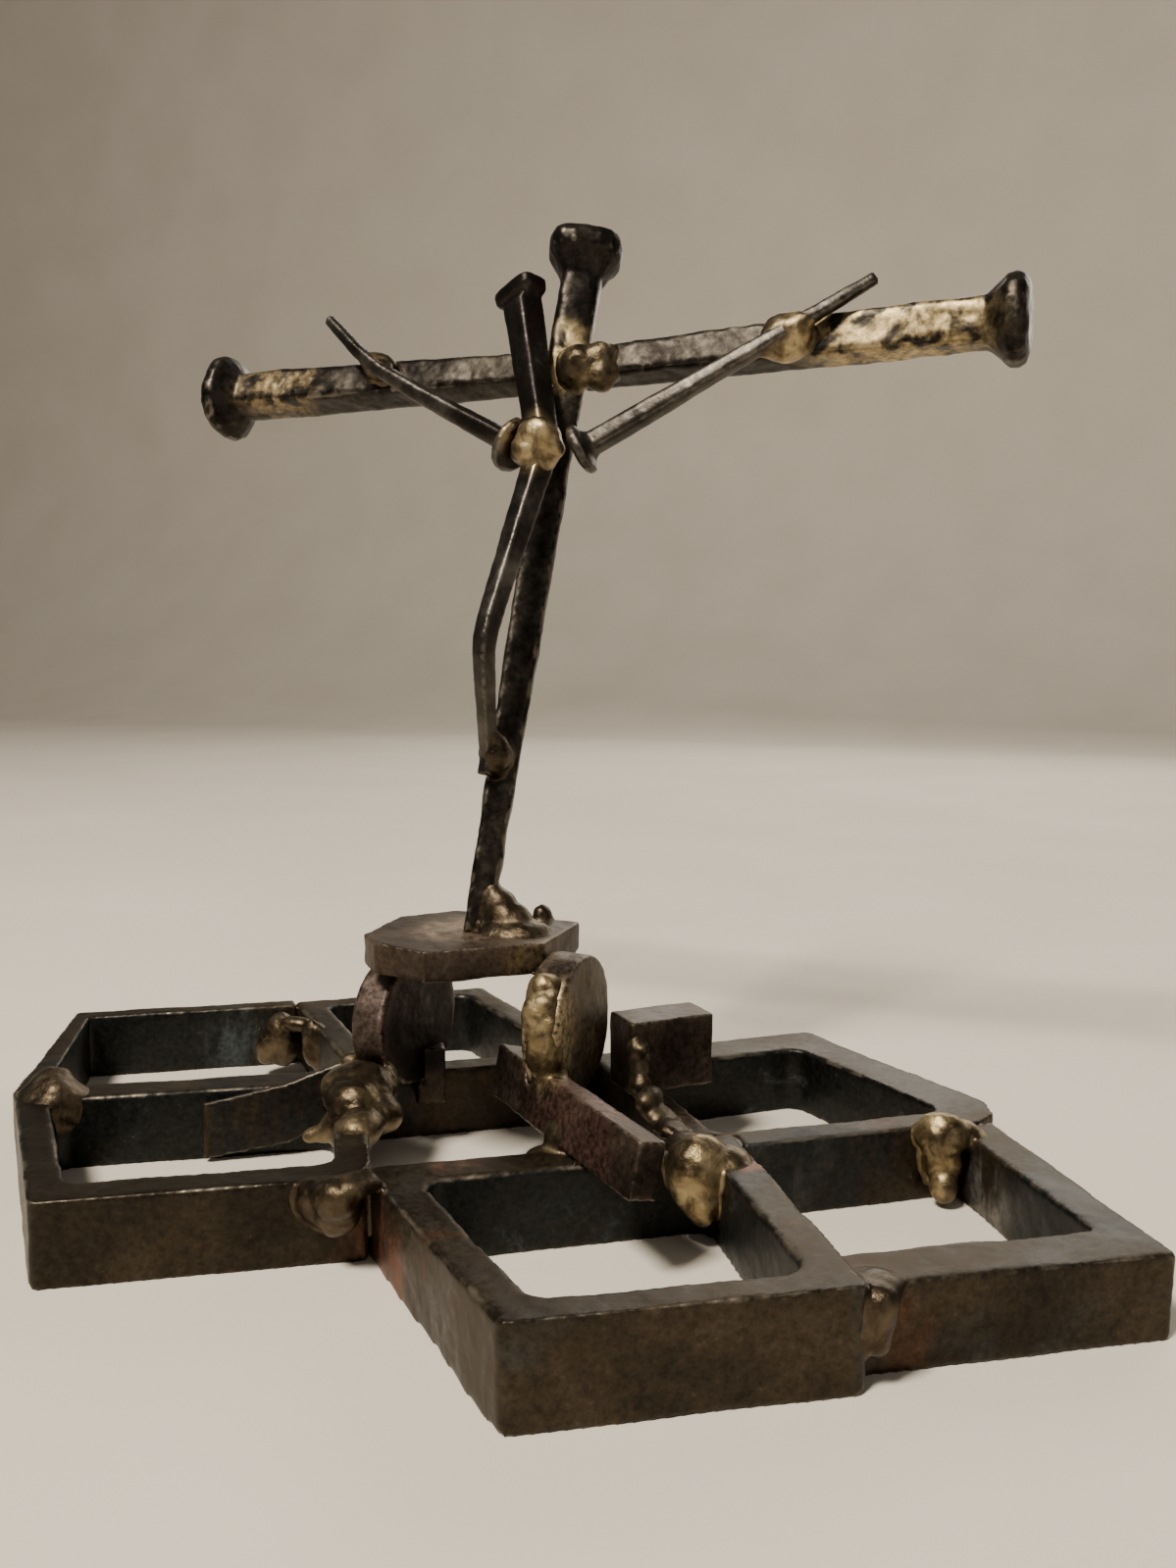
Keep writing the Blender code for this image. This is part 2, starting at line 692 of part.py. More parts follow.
def make_cross(material, parent):
    """Upright spike and the two spikes that make the crossbar."""
    foot, down, head_top = upright_line()
    head = (UPRIGHT_HEAD_WIDTH, UPRIGHT_HEAD_DEPTH, 3.0)
    upright = spike("upright_spike", head_top, down, SPIKE_LENGTH, head, UPRIGHT_TURN, 0.0, material, parent)
    for vert in upright.data.vertices:
        if (vert.co - head_top).dot(down) > SPIKE_LENGTH - 1e-6:
            vert.co += down * ((foot.z - vert.co.z) / down.z)
    crossing = on_upright(head_top.z - CROSSBAR_DROP)
    left_head = (LEFT_HEAD_WIDTH, LEFT_HEAD_DEPTH, 2.3)
    right_head = (RIGHT_HEAD_WIDTH, RIGHT_HEAD_DEPTH, 2.3)
    arms = {}
    left = (LEFT_ARM_REACH, LEFT_ARM_RISE, left_head, LEFT_ARM_ROLL, 0.0)
    right = (RIGHT_ARM_REACH, RIGHT_ARM_RISE, right_head, RIGHT_ARM_ROLL, RIGHT_ARM_TWIST)
    for side, name, sizes in ((-1, "crossbar_left_spike", left), (1, "crossbar_right_spike", right)):
        reach, rise, head, roll, twist = sizes
        head_place = crossing + Vector((side * reach, 0, rise))
        inner = crossing + Vector((side * SPIKE_AT_TIP * 0.3, 0, 0))
        direction = (inner - head_place).normalized()
        length = (inner - head_place).length
        turn = (side * roll, side * twist)
        arms[side] = spike(name, head_place, direction, length, head, *turn, material, parent)
        cut_by(arms[side], [upright])
    return upright, arms, crossing


def body_path(crossing):
    """Bends of the body nail from its head to its toe."""
    shoulder_height = crossing.z - SHOULDER_BELOW_CROSSBAR
    shoulder = on_upright(shoulder_height) + Vector((0.0020, -CHEST_FORWARD, 0))
    _, down, _ = upright_line()
    neck_top = shoulder - down * NECK_LENGTH + Vector((-NECK_TILT, 0.0, 0))
    knee_height = shoulder_height - KNEE_BELOW_SHOULDER
    knee = on_upright(knee_height) + Vector((-0.0012, -KNEE_FORWARD, 0))
    ankle_height = knee_height - ANKLE_BELOW_KNEE
    front = (spike_side(SPIKE_LENGTH * 0.8) + BODY_NAIL_AT_FOOT) / 2 + GAP * 3
    outward = Matrix.Rotation(UPRIGHT_TURN, 3, "Z") @ Vector((0, -1, 0))
    beside = Matrix.Rotation(UPRIGHT_TURN, 3, "Z") @ Vector((1, 0, 0))
    ankle = on_upright(ankle_height) + outward * front * 1.04 + beside * ANKLE_ASIDE
    toe = ankle + down * TOE_LENGTH
    return [neck_top, shoulder, knee, ankle, toe]


def smooth_bends(path, share):
    """Replace each inner corner of a path by three points, as a bent nail turns."""
    points = [path[0]]
    for before, corner, after in zip(path, path[1:], path[2:]):
        start = corner + (before - corner) * share
        end = corner + (after - corner) * share
        points += [start, (start + end) / 4 + corner / 2, end]
    points.append(path[-1])
    return points


def make_figure(material, parent, cross, crossing):
    """The figure: body nail and two arm nails."""
    upright, arms = cross
    front = Matrix.Rotation(UPRIGHT_TURN, 3, "Z") @ Vector((0, -1, 0))
    path = body_path(crossing)
    shoulder = path[1]
    bent = smooth_bends(path, 0.12)
    reach = [0.0]
    for first, second in zip(bent, bent[1:]):
        reach.append(reach[-1] + (second - first).length)
    sizes = [BODY_NAIL_AT_HEAD + (BODY_NAIL_AT_FOOT - BODY_NAIL_AT_HEAD) * r / reach[-1] for r in reach]
    direction = (bent[0] - bent[1]).normalized()
    across, up = side_axes(-direction, front, 0.0)
    sections = []
    for depth_share, width_share in ((1.0, 0.86), (0.9, 1.0), (0.45, 0.97), (0.2, 0.74)):
        centre = bent[0] + direction * (BODY_HEAD_DEPTH * depth_share)
        half = BODY_HEAD_WIDTH * width_share / 2
        sections.append(rounded_section(centre, across, up, half, half * 0.62, 4.5))
    sections += nail_sections(bent, sizes, front, 6.0)
    body = add_object("figure_body_nail", loft(sections), material, parent, smooth=True)
    cut_by(body, [upright])
    nails = [body]
    left = (-1, LEFT_SHOULDER_OUT, LEFT_HAND_OUT, LEFT_HAND_ABOVE, LEFT_CROSSING_OUT)
    right = (1, RIGHT_SHOULDER_OUT, RIGHT_HAND_OUT, RIGHT_HAND_ABOVE, RIGHT_CROSSING_OUT)
    for name, nail_head, reaches in (
        ("figure_left_arm_nail", LEFT_ARM_NAIL_HEAD, left),
        ("figure_right_arm_nail", RIGHT_ARM_NAIL_HEAD, right),
    ):
        side, out, hand_out, hand_above, crossing_out = reaches
        start = shoulder + Vector((side * out, 0.0005, -side * SHOULDER_STEP))
        bar_front = crossing.y - SPIKE_AT_HEAD * 0.60 - ARM_NAIL_AT_HEAD / 2 - GAP
        crossing_point = Vector((crossing.x + side * crossing_out, bar_front, crossing.z + 0.0020))
        hand = Vector((crossing.x + side * hand_out, crossing.y - 0.0030, crossing.z + hand_above))
        arm_path = smooth_bends([start, crossing_point, hand], 0.35)
        direction = (arm_path[1] - arm_path[0]).normalized()
        length = sum((b - a).length for a, b in zip(arm_path, arm_path[1:]))
        across, up = side_axes(direction, front, 0.0)
        sections = []
        for offset, share in ((-0.5, 0.80), (-0.25, 1.0), (0.2, 1.0), (0.5, 0.62)):
            centre = start + direction * (offset * ARM_NAIL_HEAD_DEPTH)
            half = nail_head * share / 2
            sections.append(rounded_section(centre, across, up, half, half, 2.2))
        travelled = 0.0
        sizes = []
        points = [start + direction * (ARM_NAIL_HEAD_DEPTH * 0.8)] + arm_path[1:]
        for i, point in enumerate(points):
            travelled += (point - points[i - 1]).length if i else 0.0
            sizes.append(ARM_NAIL_AT_HEAD + (ARM_NAIL_AT_TIP - ARM_NAIL_AT_HEAD) * travelled / length)
        sections += nail_sections(points, sizes, front, 4.0)
        arm = add_object(name, loft(sections), material, parent, smooth=True)
        cut_by(arm, [body, arms[side], upright])
        nails.append(arm)
    return nails, path


def back_slice_left(v):
    """Where the back slice's left face lies at a depth v of the base."""
    start = COURT_RIGHT - BACK_SLICE_FRONT
    share = (v - COURT_BACK) / (BACK_SLICE_DEPTH - 0.0010)
    return start - 0.0150 * share


def make_braze(material, parent, base, discs, scraps, plate, cross, nails, path, crossing):
    """Beads of braze that hold the pieces together."""
    upright, arms = cross
    body, left_arm, right_arm = nails
    shoulder, ankle = path[1], path[3]
    foot, _, _ = upright_line()
    top = SLICE_HEIGHT
    left_front = COURT_FRONT + LEFT_SLICE_SHIFT
    left_back = left_front + LEFT_SLICE_DEPTH
    left_end = COURT_LEFT - LEFT_SLICE_FRONT - LEFT_SLICE_LEAN
    right_front = COURT_FRONT + RIGHT_SLICE_SHIFT
    front_front = COURT_FRONT - FRONT_SLICE_DEPTH
    angle_wall = FRONT_SLICE_RIGHT + FRONT_ANGLE_REACH - FRONT_ANGLE_WALLS[1]
    blob_v = left_back + REAR_ANGLE_DEPTH - REAR_ANGLE_WALLS[1] - 0.0065
    blob_u = back_slice_left(blob_v) - 0.0058
    left_hand = crossing + Vector((-LEFT_CROSSING_OUT, -0.0058, 0.0030))
    right_hand = crossing + Vector((RIGHT_CROSSING_OUT, -0.0052, 0.0020))
    beads = (
        ("braze_left_corner", from_base(left_end + 0.0084, left_back - 0.0045, top - 0.0015),
         (0.0062, 0.0058, 0.0058),
         [base["left"], base["rear_angle"]]),
        ("braze_left_front", from_base(COURT_LEFT - 0.0060, left_front - 0.0015, top - 0.0035),
         (0.0062, 0.0052, 0.0066),
         [base["left"], base["front"]]),
        ("braze_right_corner", from_base(COURT_RIGHT + 0.0040, right_front - 0.0060, top - 0.0005),
         (0.0058, 0.0060, 0.0066),
         [base["front"], base["right"], scraps["bar"]]),
        ("braze_inner_corner", from_base(angle_wall - 0.0019, right_front + 0.0012, top - 0.0050),
         (0.0052, 0.0044, 0.0090),
         [base["front_angle"], base["right"]]),
        ("braze_front_joint", from_base(FRONT_SLICE_RIGHT + 0.0010, front_front + 0.0027, top - 0.0060),
         (0.0044, 0.0040, 0.0062),
         [base["front"], base["front_angle"]]),
        ("braze_under_left_disc", from_base(COURT_LEFT - 0.0010, left_back - 0.0215, top + 0.0030),
         (0.0088, 0.0100, 0.0062),
         [base["left"], base["back"], discs["left"], scraps["blade"], scraps["stub"]]),
        ("braze_back_blob", from_base(blob_u, blob_v, top - 0.0055), (0.0054, 0.0046, 0.0070),
         [base["rear_angle"], base["back"]]),
        ("braze_foot", foot + Vector((0.0052, 0.0012, 0.0002)), (0.0088, 0.0064, 0.0078),
         [plate, upright]),
        ("braze_crossing", crossing + Vector((0.0045, -0.0038, -0.0006)), (0.0072, 0.0062, 0.0078),
         [upright, arms[1], arms[-1]]),
        ("braze_shoulders", shoulder + Vector((-0.0006, -0.0022, 0.0002)), (0.0080, 0.0046, 0.0058),
         [body, left_arm, right_arm]),
        ("braze_ankle", ankle + Vector((0.0012, 0.0010, 0.0005)), (0.0038, 0.0034, 0.0050),
         [upright, body]),
        ("braze_left_hand", left_hand, (0.0046, 0.0034, 0.0032), [arms[-1], left_arm]),
        ("braze_right_hand", right_hand, (0.0052, 0.0036, 0.0052), [arms[1], right_arm]),
        ("braze_bar", from_base(-0.0010, COURT_FRONT + 0.0020, top + 0.0015), (0.0060, 0.0042, 0.0042),
         [base["front"], scraps["bar"]]),
        ("braze_block", from_base(COURT_RIGHT + 0.0015, COURT_FRONT + 0.0150, top + 0.0030),
         (0.0040, 0.0075, 0.0045),
         [base["right"], scraps["block"], discs["right"]]),
    )
    made = []
    for seed, (name, centre, radii, neighbours) in enumerate(beads):
        bead = lump(name, centre, radii, material, parent, seed + 1)
        cut_by(bead, neighbours + [other for other in made if near(bead, other)])
        made.append(bead)
    return made


def near(first, second):
    """Whether two pieces' boxes touch."""
    boxes = []
    for obj in (first, second):
        corners = [Vector(corner) for corner in obj.bound_box]
        low = [min(corner[i] for corner in corners) for i in range(3)]
        high = [max(corner[i] for corner in corners) for i in range(3)]
        boxes.append((low, high))
    (low_a, high_a), (low_b, high_b) = boxes
    return all(low_a[i] < high_b[i] and low_b[i] < high_a[i] for i in range(3))


def centre_on_footprint(root):
    """Move the root so that the origin is at the middle of the box's underside."""
    bpy.context.view_layer.update()
    lows = [math.inf] * 3
    highs = [-math.inf] * 3
    for obj in bpy.data.objects:
        if obj.type != "MESH" or obj.hide_render:
            continue
        for vert in obj.data.vertices:
            place = obj.matrix_world @ vert.co
            for i in range(3):
                lows[i] = min(lows[i], place[i])
                highs[i] = max(highs[i], place[i])
    root.location = (-(lows[0] + highs[0]) / 2, -(lows[1] + highs[1]) / 2, -lows[2])
    bpy.context.view_layer.update()


def main():
    clear_scene()
    materials = make_materials()
    root = add_empty("crucifix", None)
    base_frame = add_empty("base_frame", root, turn=BASE_TURN)
    base = make_base(materials["slice"], base_frame)
    plate = make_plate(materials["scrap"], root)
    left_centre = Vector((LEFT_DISC_X, LEFT_DISC_Y, PLATE_TOP - PLATE_THICKNESS - GAP - DISC_RADIUS))
    plate_right = PLATE_X + PLATE_RADIUS * 0.96
    right_x = plate_right + DISC_THICKNESS / 2 + GAP
    right_centre = Vector((right_x, RIGHT_DISC_Y, left_centre.z + RIGHT_DISC_RISE))
    discs = {
        "left": disc_piece("left_disc", left_centre, LEFT_DISC_TURN, materials["scrap"], root),
        "right": disc_piece("right_disc", right_centre, 0.0, materials["scrap"], root),
    }
    cut_by(discs["left"], [base["back"], base["left"]])
    cut_by(discs["right"], [plate])
    scraps = make_scraps(materials, root, base_frame, base, discs)
    upright, arms, crossing = make_cross(materials["spike"], root)
    nails, path = make_figure(materials["nail"], root, (upright, arms), crossing)
    make_braze(materials["braze"], root, base, discs, scraps, plate, (upright, arms), nails, path, crossing)
    centre_on_footprint(root)


main()
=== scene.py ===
"""Looks of the table-top crucifix: hammered steel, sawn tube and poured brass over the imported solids.

Lengths are metres, in the frame's own axes. Each steel piece is its solid, remeshed finely, its edges
worn by smoothing and its faces worked by noise, so that hammer marks, pits and dents are real geometry.
Each bead is its solid and a few lobes, melted together with the steel beside it.
"""

import json
import math

import bmesh
import bpy
import numpy as np
from mathutils import Matrix, Vector
from mathutils.bvhtree import BVHTree


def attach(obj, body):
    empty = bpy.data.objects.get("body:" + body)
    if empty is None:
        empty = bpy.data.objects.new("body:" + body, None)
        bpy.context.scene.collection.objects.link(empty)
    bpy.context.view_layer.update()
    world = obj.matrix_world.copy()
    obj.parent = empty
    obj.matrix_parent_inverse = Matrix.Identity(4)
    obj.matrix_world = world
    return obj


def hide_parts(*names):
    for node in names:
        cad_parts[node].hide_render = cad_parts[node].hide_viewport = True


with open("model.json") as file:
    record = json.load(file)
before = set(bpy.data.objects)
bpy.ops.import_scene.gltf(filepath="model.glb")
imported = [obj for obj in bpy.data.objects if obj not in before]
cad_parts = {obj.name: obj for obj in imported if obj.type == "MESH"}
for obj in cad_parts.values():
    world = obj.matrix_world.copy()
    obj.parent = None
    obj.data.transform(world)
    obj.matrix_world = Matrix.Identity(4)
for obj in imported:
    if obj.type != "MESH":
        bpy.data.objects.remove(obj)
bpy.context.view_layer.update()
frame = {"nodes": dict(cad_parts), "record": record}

# The photograph's height in pixels, and the lens and place it was taken from.
PHOTO_HEIGHT = 1599
FOCAL_PIXELS = 1300
SENSOR = 0.036
CAMERA_HEIGHT = 0.1045
CAMERA_PITCH = math.radians(6.02)
CAMERA_ROLL = math.radians(0.30)
CAMERA_AZIMUTH = math.radians(21.8)
CAMERA_RIGHT_OF_FOOT = 0.1158
CAMERA_FRONT_OF_FOOT = 0.2292

# Facets of the fine meshes.
SLICE_FACET = 0.00065
SPIKE_FACET = 0.00050
SCRAP_FACET = 0.00050
NAIL_FACET = 0.00037
BRAZE_FACET = 0.00041

# How each finish is worked: facet, smoothing steps, waves of noise as (scale, depth), reach of an edge.
FINISHES = {
    "slice": (SLICE_FACET, 2, ((0.0110, 0.00022), (0.0034, 0.00010), (0.0013, 0.00005)), 5),
    "scrap": (SCRAP_FACET, 2, ((0.0080, 0.00020), (0.0028, 0.00011), (0.0012, 0.00005)), 5),
    "spike": (SPIKE_FACET, 1, ((0.0075, 0.00022), (0.0026, 0.00015), (0.0011, 0.00006)), 5),
    "nail": (NAIL_FACET, 5, ((0.0060, 0.00012), (0.0022, 0.00007)), 4),
}
SMOOTHING = 0.5
EDGE_QUANTILE = 0.97
HEAT_REACH = 0.012

# How a bead melts over the steel: proud of it near the bead, sunk below it further off.
BRAZE_WAVES = ((0.0042, 0.00035), (0.0019, 0.00018), (0.0009, 0.00008))
MELT_REACH = 0.0026
STEEL_SWELL = 0.00015
BRAZE_PROUD = 0.00032
BRAZE_SUNK = -0.00050
FLOW_STEPS = 36
LOBE_SUBDIVISIONS = 3
TOO_THIN_TO_MELT = ("blade",)

# The balls that a solid is cut with in turn, and what tells a sound cut from a failed one.
BALL_STRETCHES = (1.0, 1.04, 1.09, 1.15)
UNIT_BALL = 4.19
FULLEST_BALL = 0.80
WHOLE_SOLID = 1.001
NO_VOLUME = 1e-12

# Seeds and lattice of the noise.
STEEL_SEED = 11
BEAD_SEED = 71
DRIP_SEED = 97
WAVE_SEED_STEP = 7
LATTICE_SIZE = 4096
LATTICE_SHIFT = 17.31
LATTICE_PRIMES = (73856093, 19349663, 83492791)

# Colours of the marks on the steel.
RUST = (0.150, 0.052, 0.022)
HEAT_BLUE = (0.085, 0.105, 0.115)
ASH_GREY = (0.330, 0.335, 0.320)
COPPER = (0.300, 0.150, 0.105)
MAUVE = (0.125, 0.068, 0.056)
PALE_MAUVE = (0.110, 0.080, 0.072)
BRASS_WASH = (0.520, 0.400, 0.205)
DULL_BRASS = (0.300, 0.225, 0.120)
BRONZE = (0.110, 0.082, 0.042)
TAN = (0.120, 0.088, 0.045)
# Painted shade: near-black for faces left dark by shade, on the left disc's side face and the upright's
# head.
PAINTED_SHADE_BLACK = (0.012, 0.010, 0.009)
# Painted shade, warmer, for the figure's neck.
PAINTED_SHADE_WARM = (0.016, 0.013, 0.011)
NIGHT_BLUE = (0.014, 0.017, 0.017)

# Stage: floor, then the point that the lights are aimed at and the lights themselves.
FLOOR_HALF_WIDTH = 2.56
FLOOR_FRONT = -2.2
FLOOR_BACK = 1.2
COVE_RADIUS = 0.5
COVE_STEPS = 12
WALL_TOP = 1.4
LIGHT_TARGET = Vector((0, 0, 0.09))
KEY_DIRECTION = Vector((-0.18, -0.60, 0.85)).normalized()
KEY_DISTANCE = 1.3
LIGHTS = (
    ("key", LIGHT_TARGET + KEY_DIRECTION * KEY_DISTANCE, (0.26, 0.26), 30, (1.0, 0.91, 0.78)),
    ("fill", Vector((0.95, -0.75, 0.45)), (0.9, 0.9), 1.4, (1.0, 0.93, 0.84)),
    ("back", Vector((0.10, 1.05, 0.60)), (1.2, 0.6), 7, (1.0, 0.93, 0.82)),
)
ROOM_COLOUR = (0.82, 0.75, 0.65, 1.0)
ROOM_STRENGTH = 0.20

SLOTS = {entry["node"]: entry["material_slot"] for entry in frame["record"]["subparts"]}
BEADS = sorted(name for name in frame["nodes"] if SLOTS[name] == "braze")
STEEL = sorted(name for name in frame["nodes"] if SLOTS[name] != "braze")


# Places, read from the solids


def node_of(name):
    """The Blender object that holds a node's solid."""
    return frame["nodes"][name]


def box_of(points):
    """The lowest and highest corner of a box round the points."""
    low = Vector([min(point[i] for point in points) for i in range(3)])
    high = Vector([max(point[i] for point in points) for i in range(3)])
    return low, high


def node_bounds(name):
    """The lowest and highest corner of a node's box."""
    return box_of([vert.co for vert in node_of(name).data.vertices])


def middle(name):
    """The middle of a node's box."""
    low, high = node_bounds(name)
    return (low + high) / 2


def off(name, right, back, up):
    """A place given from the middle of a node's box, in millimetres."""
    return middle(name) + Vector((right, back, up)) / 1000


def foot_of_upright():
    """The middle of the upright's lowest ring of points."""
    mesh = node_of("upright_spike").data
    lowest = min(vert.co.z for vert in mesh.vertices)
    ring = [vert.co for vert in mesh.vertices if vert.co.z < lowest + 0.0004]
    return sum(ring, Vector()) / len(ring)


FOOT = foot_of_upright()

# Marks seen on the steel, and painted shade on a few faces: place, full within, gone beyond, colour,
# share.
SLICE_MARKS = (
    (off("blade", 0.0, 0.0, 0.0), 0.015, 0.021, NIGHT_BLUE, 0.85),
    (off("right_slice", 20.0, -31.0, -2.0), 0.012, 0.022, NIGHT_BLUE, 0.80),
    (off("front_slice", -36.0, -12.0, -6.0), 0.004, 0.014, RUST, 0.80),
    (off("front_angle", -19.0, -30.0, -1.0), 0.003, 0.012, RUST, 0.75),
    (off("front_angle", -8.0, 20.0, -1.0), 0.003, 0.010, ASH_GREY, 0.55),
    (off("rear_angle", 10.0, 30.0, -1.0), 0.003, 0.012, HEAT_BLUE, 0.70),
    (off("left_slice", -18.0, 0.5, -2.0), 0.002, 0.006, HEAT_BLUE, 0.60),
    (off("front_slice", -30.0, 7.0, 8.0), 0.002, 0.006, COPPER, 0.75),
    (off("braze_right_corner", 8.0, 3.5, 1.0), 0.002, 0.007, COPPER, 0.70),
)
SCRAP_MARKS = (
    (off("leaning_bar", -1.0, -9.0, -1.5), 0.012, 0.020, MAUVE, 0.80),
    (off("left_disc", -2.0, -13.0, 4.0), 0.004, 0.010, PALE_MAUVE, 0.70),
    # Painted shade on the left disc's right side face, which faces away from the key light.
    (off("left_disc", 4.4, 0.0, 0.0), 0.0100, 0.0128, PAINTED_SHADE_BLACK, 0.88),
    (off("right_disc", -1.0, -13.0, 1.0), 0.006, 0.013, BRASS_WASH, 0.60),
    (off("right_disc", 4.0, 2.0, 0.0), 0.008, 0.016, BRONZE, 0.60),
    (off("foot_plate", 17.0, -3.0, -1.0), 0.003, 0.009, TAN, 0.80),
)
SPIKE_MARKS = (
    (off("crossbar_right_spike", 21.0, -4.0, 2.0), 0.010, 0.024, BRASS_WASH, 0.66),
    (off("crossbar_left_spike", -25.0, -5.0, 2.0), 0.005, 0.014, DULL_BRASS, 0.60),
    (off("braze_crossing", -2.0, -3.0, 3.0), 0.004, 0.011, BRASS_WASH, 0.85),
    # Painted shade over the upright's head.
    (off("upright_spike", 7.5, 22.5, 71.0), 0.0095, 0.0130, PAINTED_SHADE_BLACK, 0.90),
)
NAIL_MARKS = (
    # Painted shade over the figure's neck.
    (off("figure_body_nail", -0.5, 7.5, 35.0), 0.017, 0.022, PAINTED_SHADE_WARM, 0.92),
    (off("braze_shoulders", 0.0, -3.0, 1.0), 0.003, 0.009, BRASS_WASH, 0.80),
)

# Share of its solid's size that the core of a bead keeps, where it isn't the usual one.
USUAL_SHARE = 0.92
BEAD_SHARE = {
    "braze_front_joint": 0.68,
    "braze_inner_corner": 0.72,
    "braze_block": 0.55,
    "braze_bar": 0.80,
    "braze_foot": 0.55,
    "braze_shoulders": 0.84,
    "braze_crossing": 0.62,
    "braze_left_front": 0.76,
    "braze_under_left_disc": 0.85,
}

# Lobes that give each bead its shape, set beside the photograph. Each one is its place from the
# bead's middle and its three radii, in millimetres.
LOBES = {
    "braze_left_corner": (
        ((1.8, -0.6, -1.8), (4.9, 4.9, 5.4)),
        ((-1.0, 0.8, 1.6), (4.0, 4.0, 3.2)),
    ),
    "braze_left_front": (
        ((1.2, -1.8, 2.4), (4.0, 3.0, 3.4)),
        ((3.8, 0.8, 4.4), (3.4, 3.6, 1.8)),
        ((-3.6, -1.2, 1.0), (2.4, 2.2, 3.6)),
    ),
    "braze_right_corner": (
        ((-0.5, -0.9, -1.8), (4.3, 4.0, 6.0)),
        ((1.6, -1.4, -6.2), (2.6, 2.6, 3.8)),
        ((3.5, 3.0, 1.2), (4.2, 4.0, 1.8)),
    ),
    "braze_inner_corner": (
        ((0.0, -1.0, 4.6), (4.7, 3.6, 4.4)),
        ((0.6, -1.8, -5.2), (2.6, 2.2, 3.2)),
        ((3.4, 2.0, 4.8), (3.0, 3.0, 2.2)),
    ),
    "braze_front_joint": (
        ((0.0, 0.4, 2.6), (2.6, 2.4, 4.0)),
        ((-1.0, 3.0, 5.0), (3.6, 4.0, 1.6)),
    ),
    "braze_back_blob": (
        ((0.6, -2.6, 1.6), (3.8, 2.6, 4.4)),
        ((-3.2, -2.6, -1.8), (2.8, 2.2, 4.2)),
        ((11.2, -4.2, 1.4), (2.6, 1.5, 6.2)),
        ((6.0, -3.0, 5.4), (4.0, 2.2, 1.8)),
    ),
    "braze_under_left_disc": (
        ((6.4, -10.6, -3.6), (4.2, 4.6, 3.6)),
        ((2.2, -5.8, -0.6), (4.8, 4.4, 4.4)),
        ((7.0, -3.4, -3.4), (3.6, 5.0, 3.6)),
        ((-0.6, -8.0, -5.0), (3.0, 2.6, 2.8)),
        ((-3.0, -8.8, -6.4), (2.3, 2.0, 1.9)),
        ((-5.2, -9.6, -7.0), (1.9, 1.6, 1.5)),
        ((-6.4, 8.4, 2.2), (3.0, 2.0, 1.8)),
    ),
    "braze_block": (
        ((-5.0, 8.6, 6.6), (2.0, 2.0, 1.8)),
        ((-4.7, 8.2, 3.4), (1.6, 1.6, 2.4)),
        ((-4.2, 7.4, -0.4), (2.0, 2.0, 2.6)),
        ((-1.2, 3.2, -2.0), (2.5, 2.6, 1.6)),
        ((2.4, -1.6, -2.4), (3.0, 3.0, 1.5)),
        ((6.4, -6.4, -2.6), (3.2, 3.4, 1.5)),
        ((11.0, -12.0, -2.6), (3.2, 3.6, 1.5)),
    ),
    "braze_bar": (
        ((-1.8, -0.6, -0.4), (2.8, 2.2, 3.2)),
        ((-4.6, -2.4, -2.6), (3.4, 2.6, 1.5)),
    ),
    "braze_crossing": (
        ((4.2, 0.8, 1.8), (3.0, 2.6, 3.4)),
        ((4.8, 0.4, -2.2), (2.8, 2.6, 3.6)),
    ),
    "braze_shoulders": (
        ((1.0, -2.4, 1.8), (3.2, 1.8, 3.0)),
        ((-1.6, -2.0, -2.2), (3.0, 2.0, 2.4)),
    ),
    "braze_foot": (
        ((2.4, -0.8, -3.4), (7.2, 5.2, 1.5)),
        ((-1.0, 0.2, 0.2), (2.8, 3.4, 4.0)),
        ((1.6, -0.2, -1.8), (4.2, 3.6, 2.8)),
        ((3.3, 11.2, -2.8), (1.8, 1.8, 1.8)),
    ),
    "braze_right_hand": (
        ((2.6, -0.4, 1.6), (3.0, 2.2, 3.0)),
        ((-1.8, -0.6, -2.0), (3.2, 2.0, 2.2)),
    ),
}

# A run of brass down the rim of the right disc, in the same terms, from the disc's middle.
DISC_DRIP = (
    ((-1.0, -9.4, 8.4), (2.8, 1.6, 3.2)),
    ((-0.6, -11.8, 3.6), (3.0, 1.5, 5.0)),
    ((0.6, -12.6, -3.0), (2.4, 1.5, 4.6)),
    ((1.2, -11.2, -8.4), (2.4, 1.8, 3.4)),
)

# How golden a bead is, from 0 for burnt brown to 1, where it isn't the usual share.
USUAL_GOLD = 0.75
GOLDEN = {
    "braze_left_corner": 0.15,
    "braze_left_front": 0.42,
    "braze_front_joint": 0.22,
    "braze_ankle": 0.35,
    "braze_block": 0.0,
    "braze_bar": 0.45,
    "braze_left_hand": 0.55,
    "braze_foot": 0.12,
    "braze_crossing": 0.50,
    "braze_under_left_disc": 0.60,
    "braze_back_blob": 0.50,
    "braze_shoulders": 0.85,
    "braze_right_hand": 0.95,
    "braze_right_corner": 1.0,
    "braze_inner_corner": 0.95,
    "disc_drip": 0.95,
}


# Materials


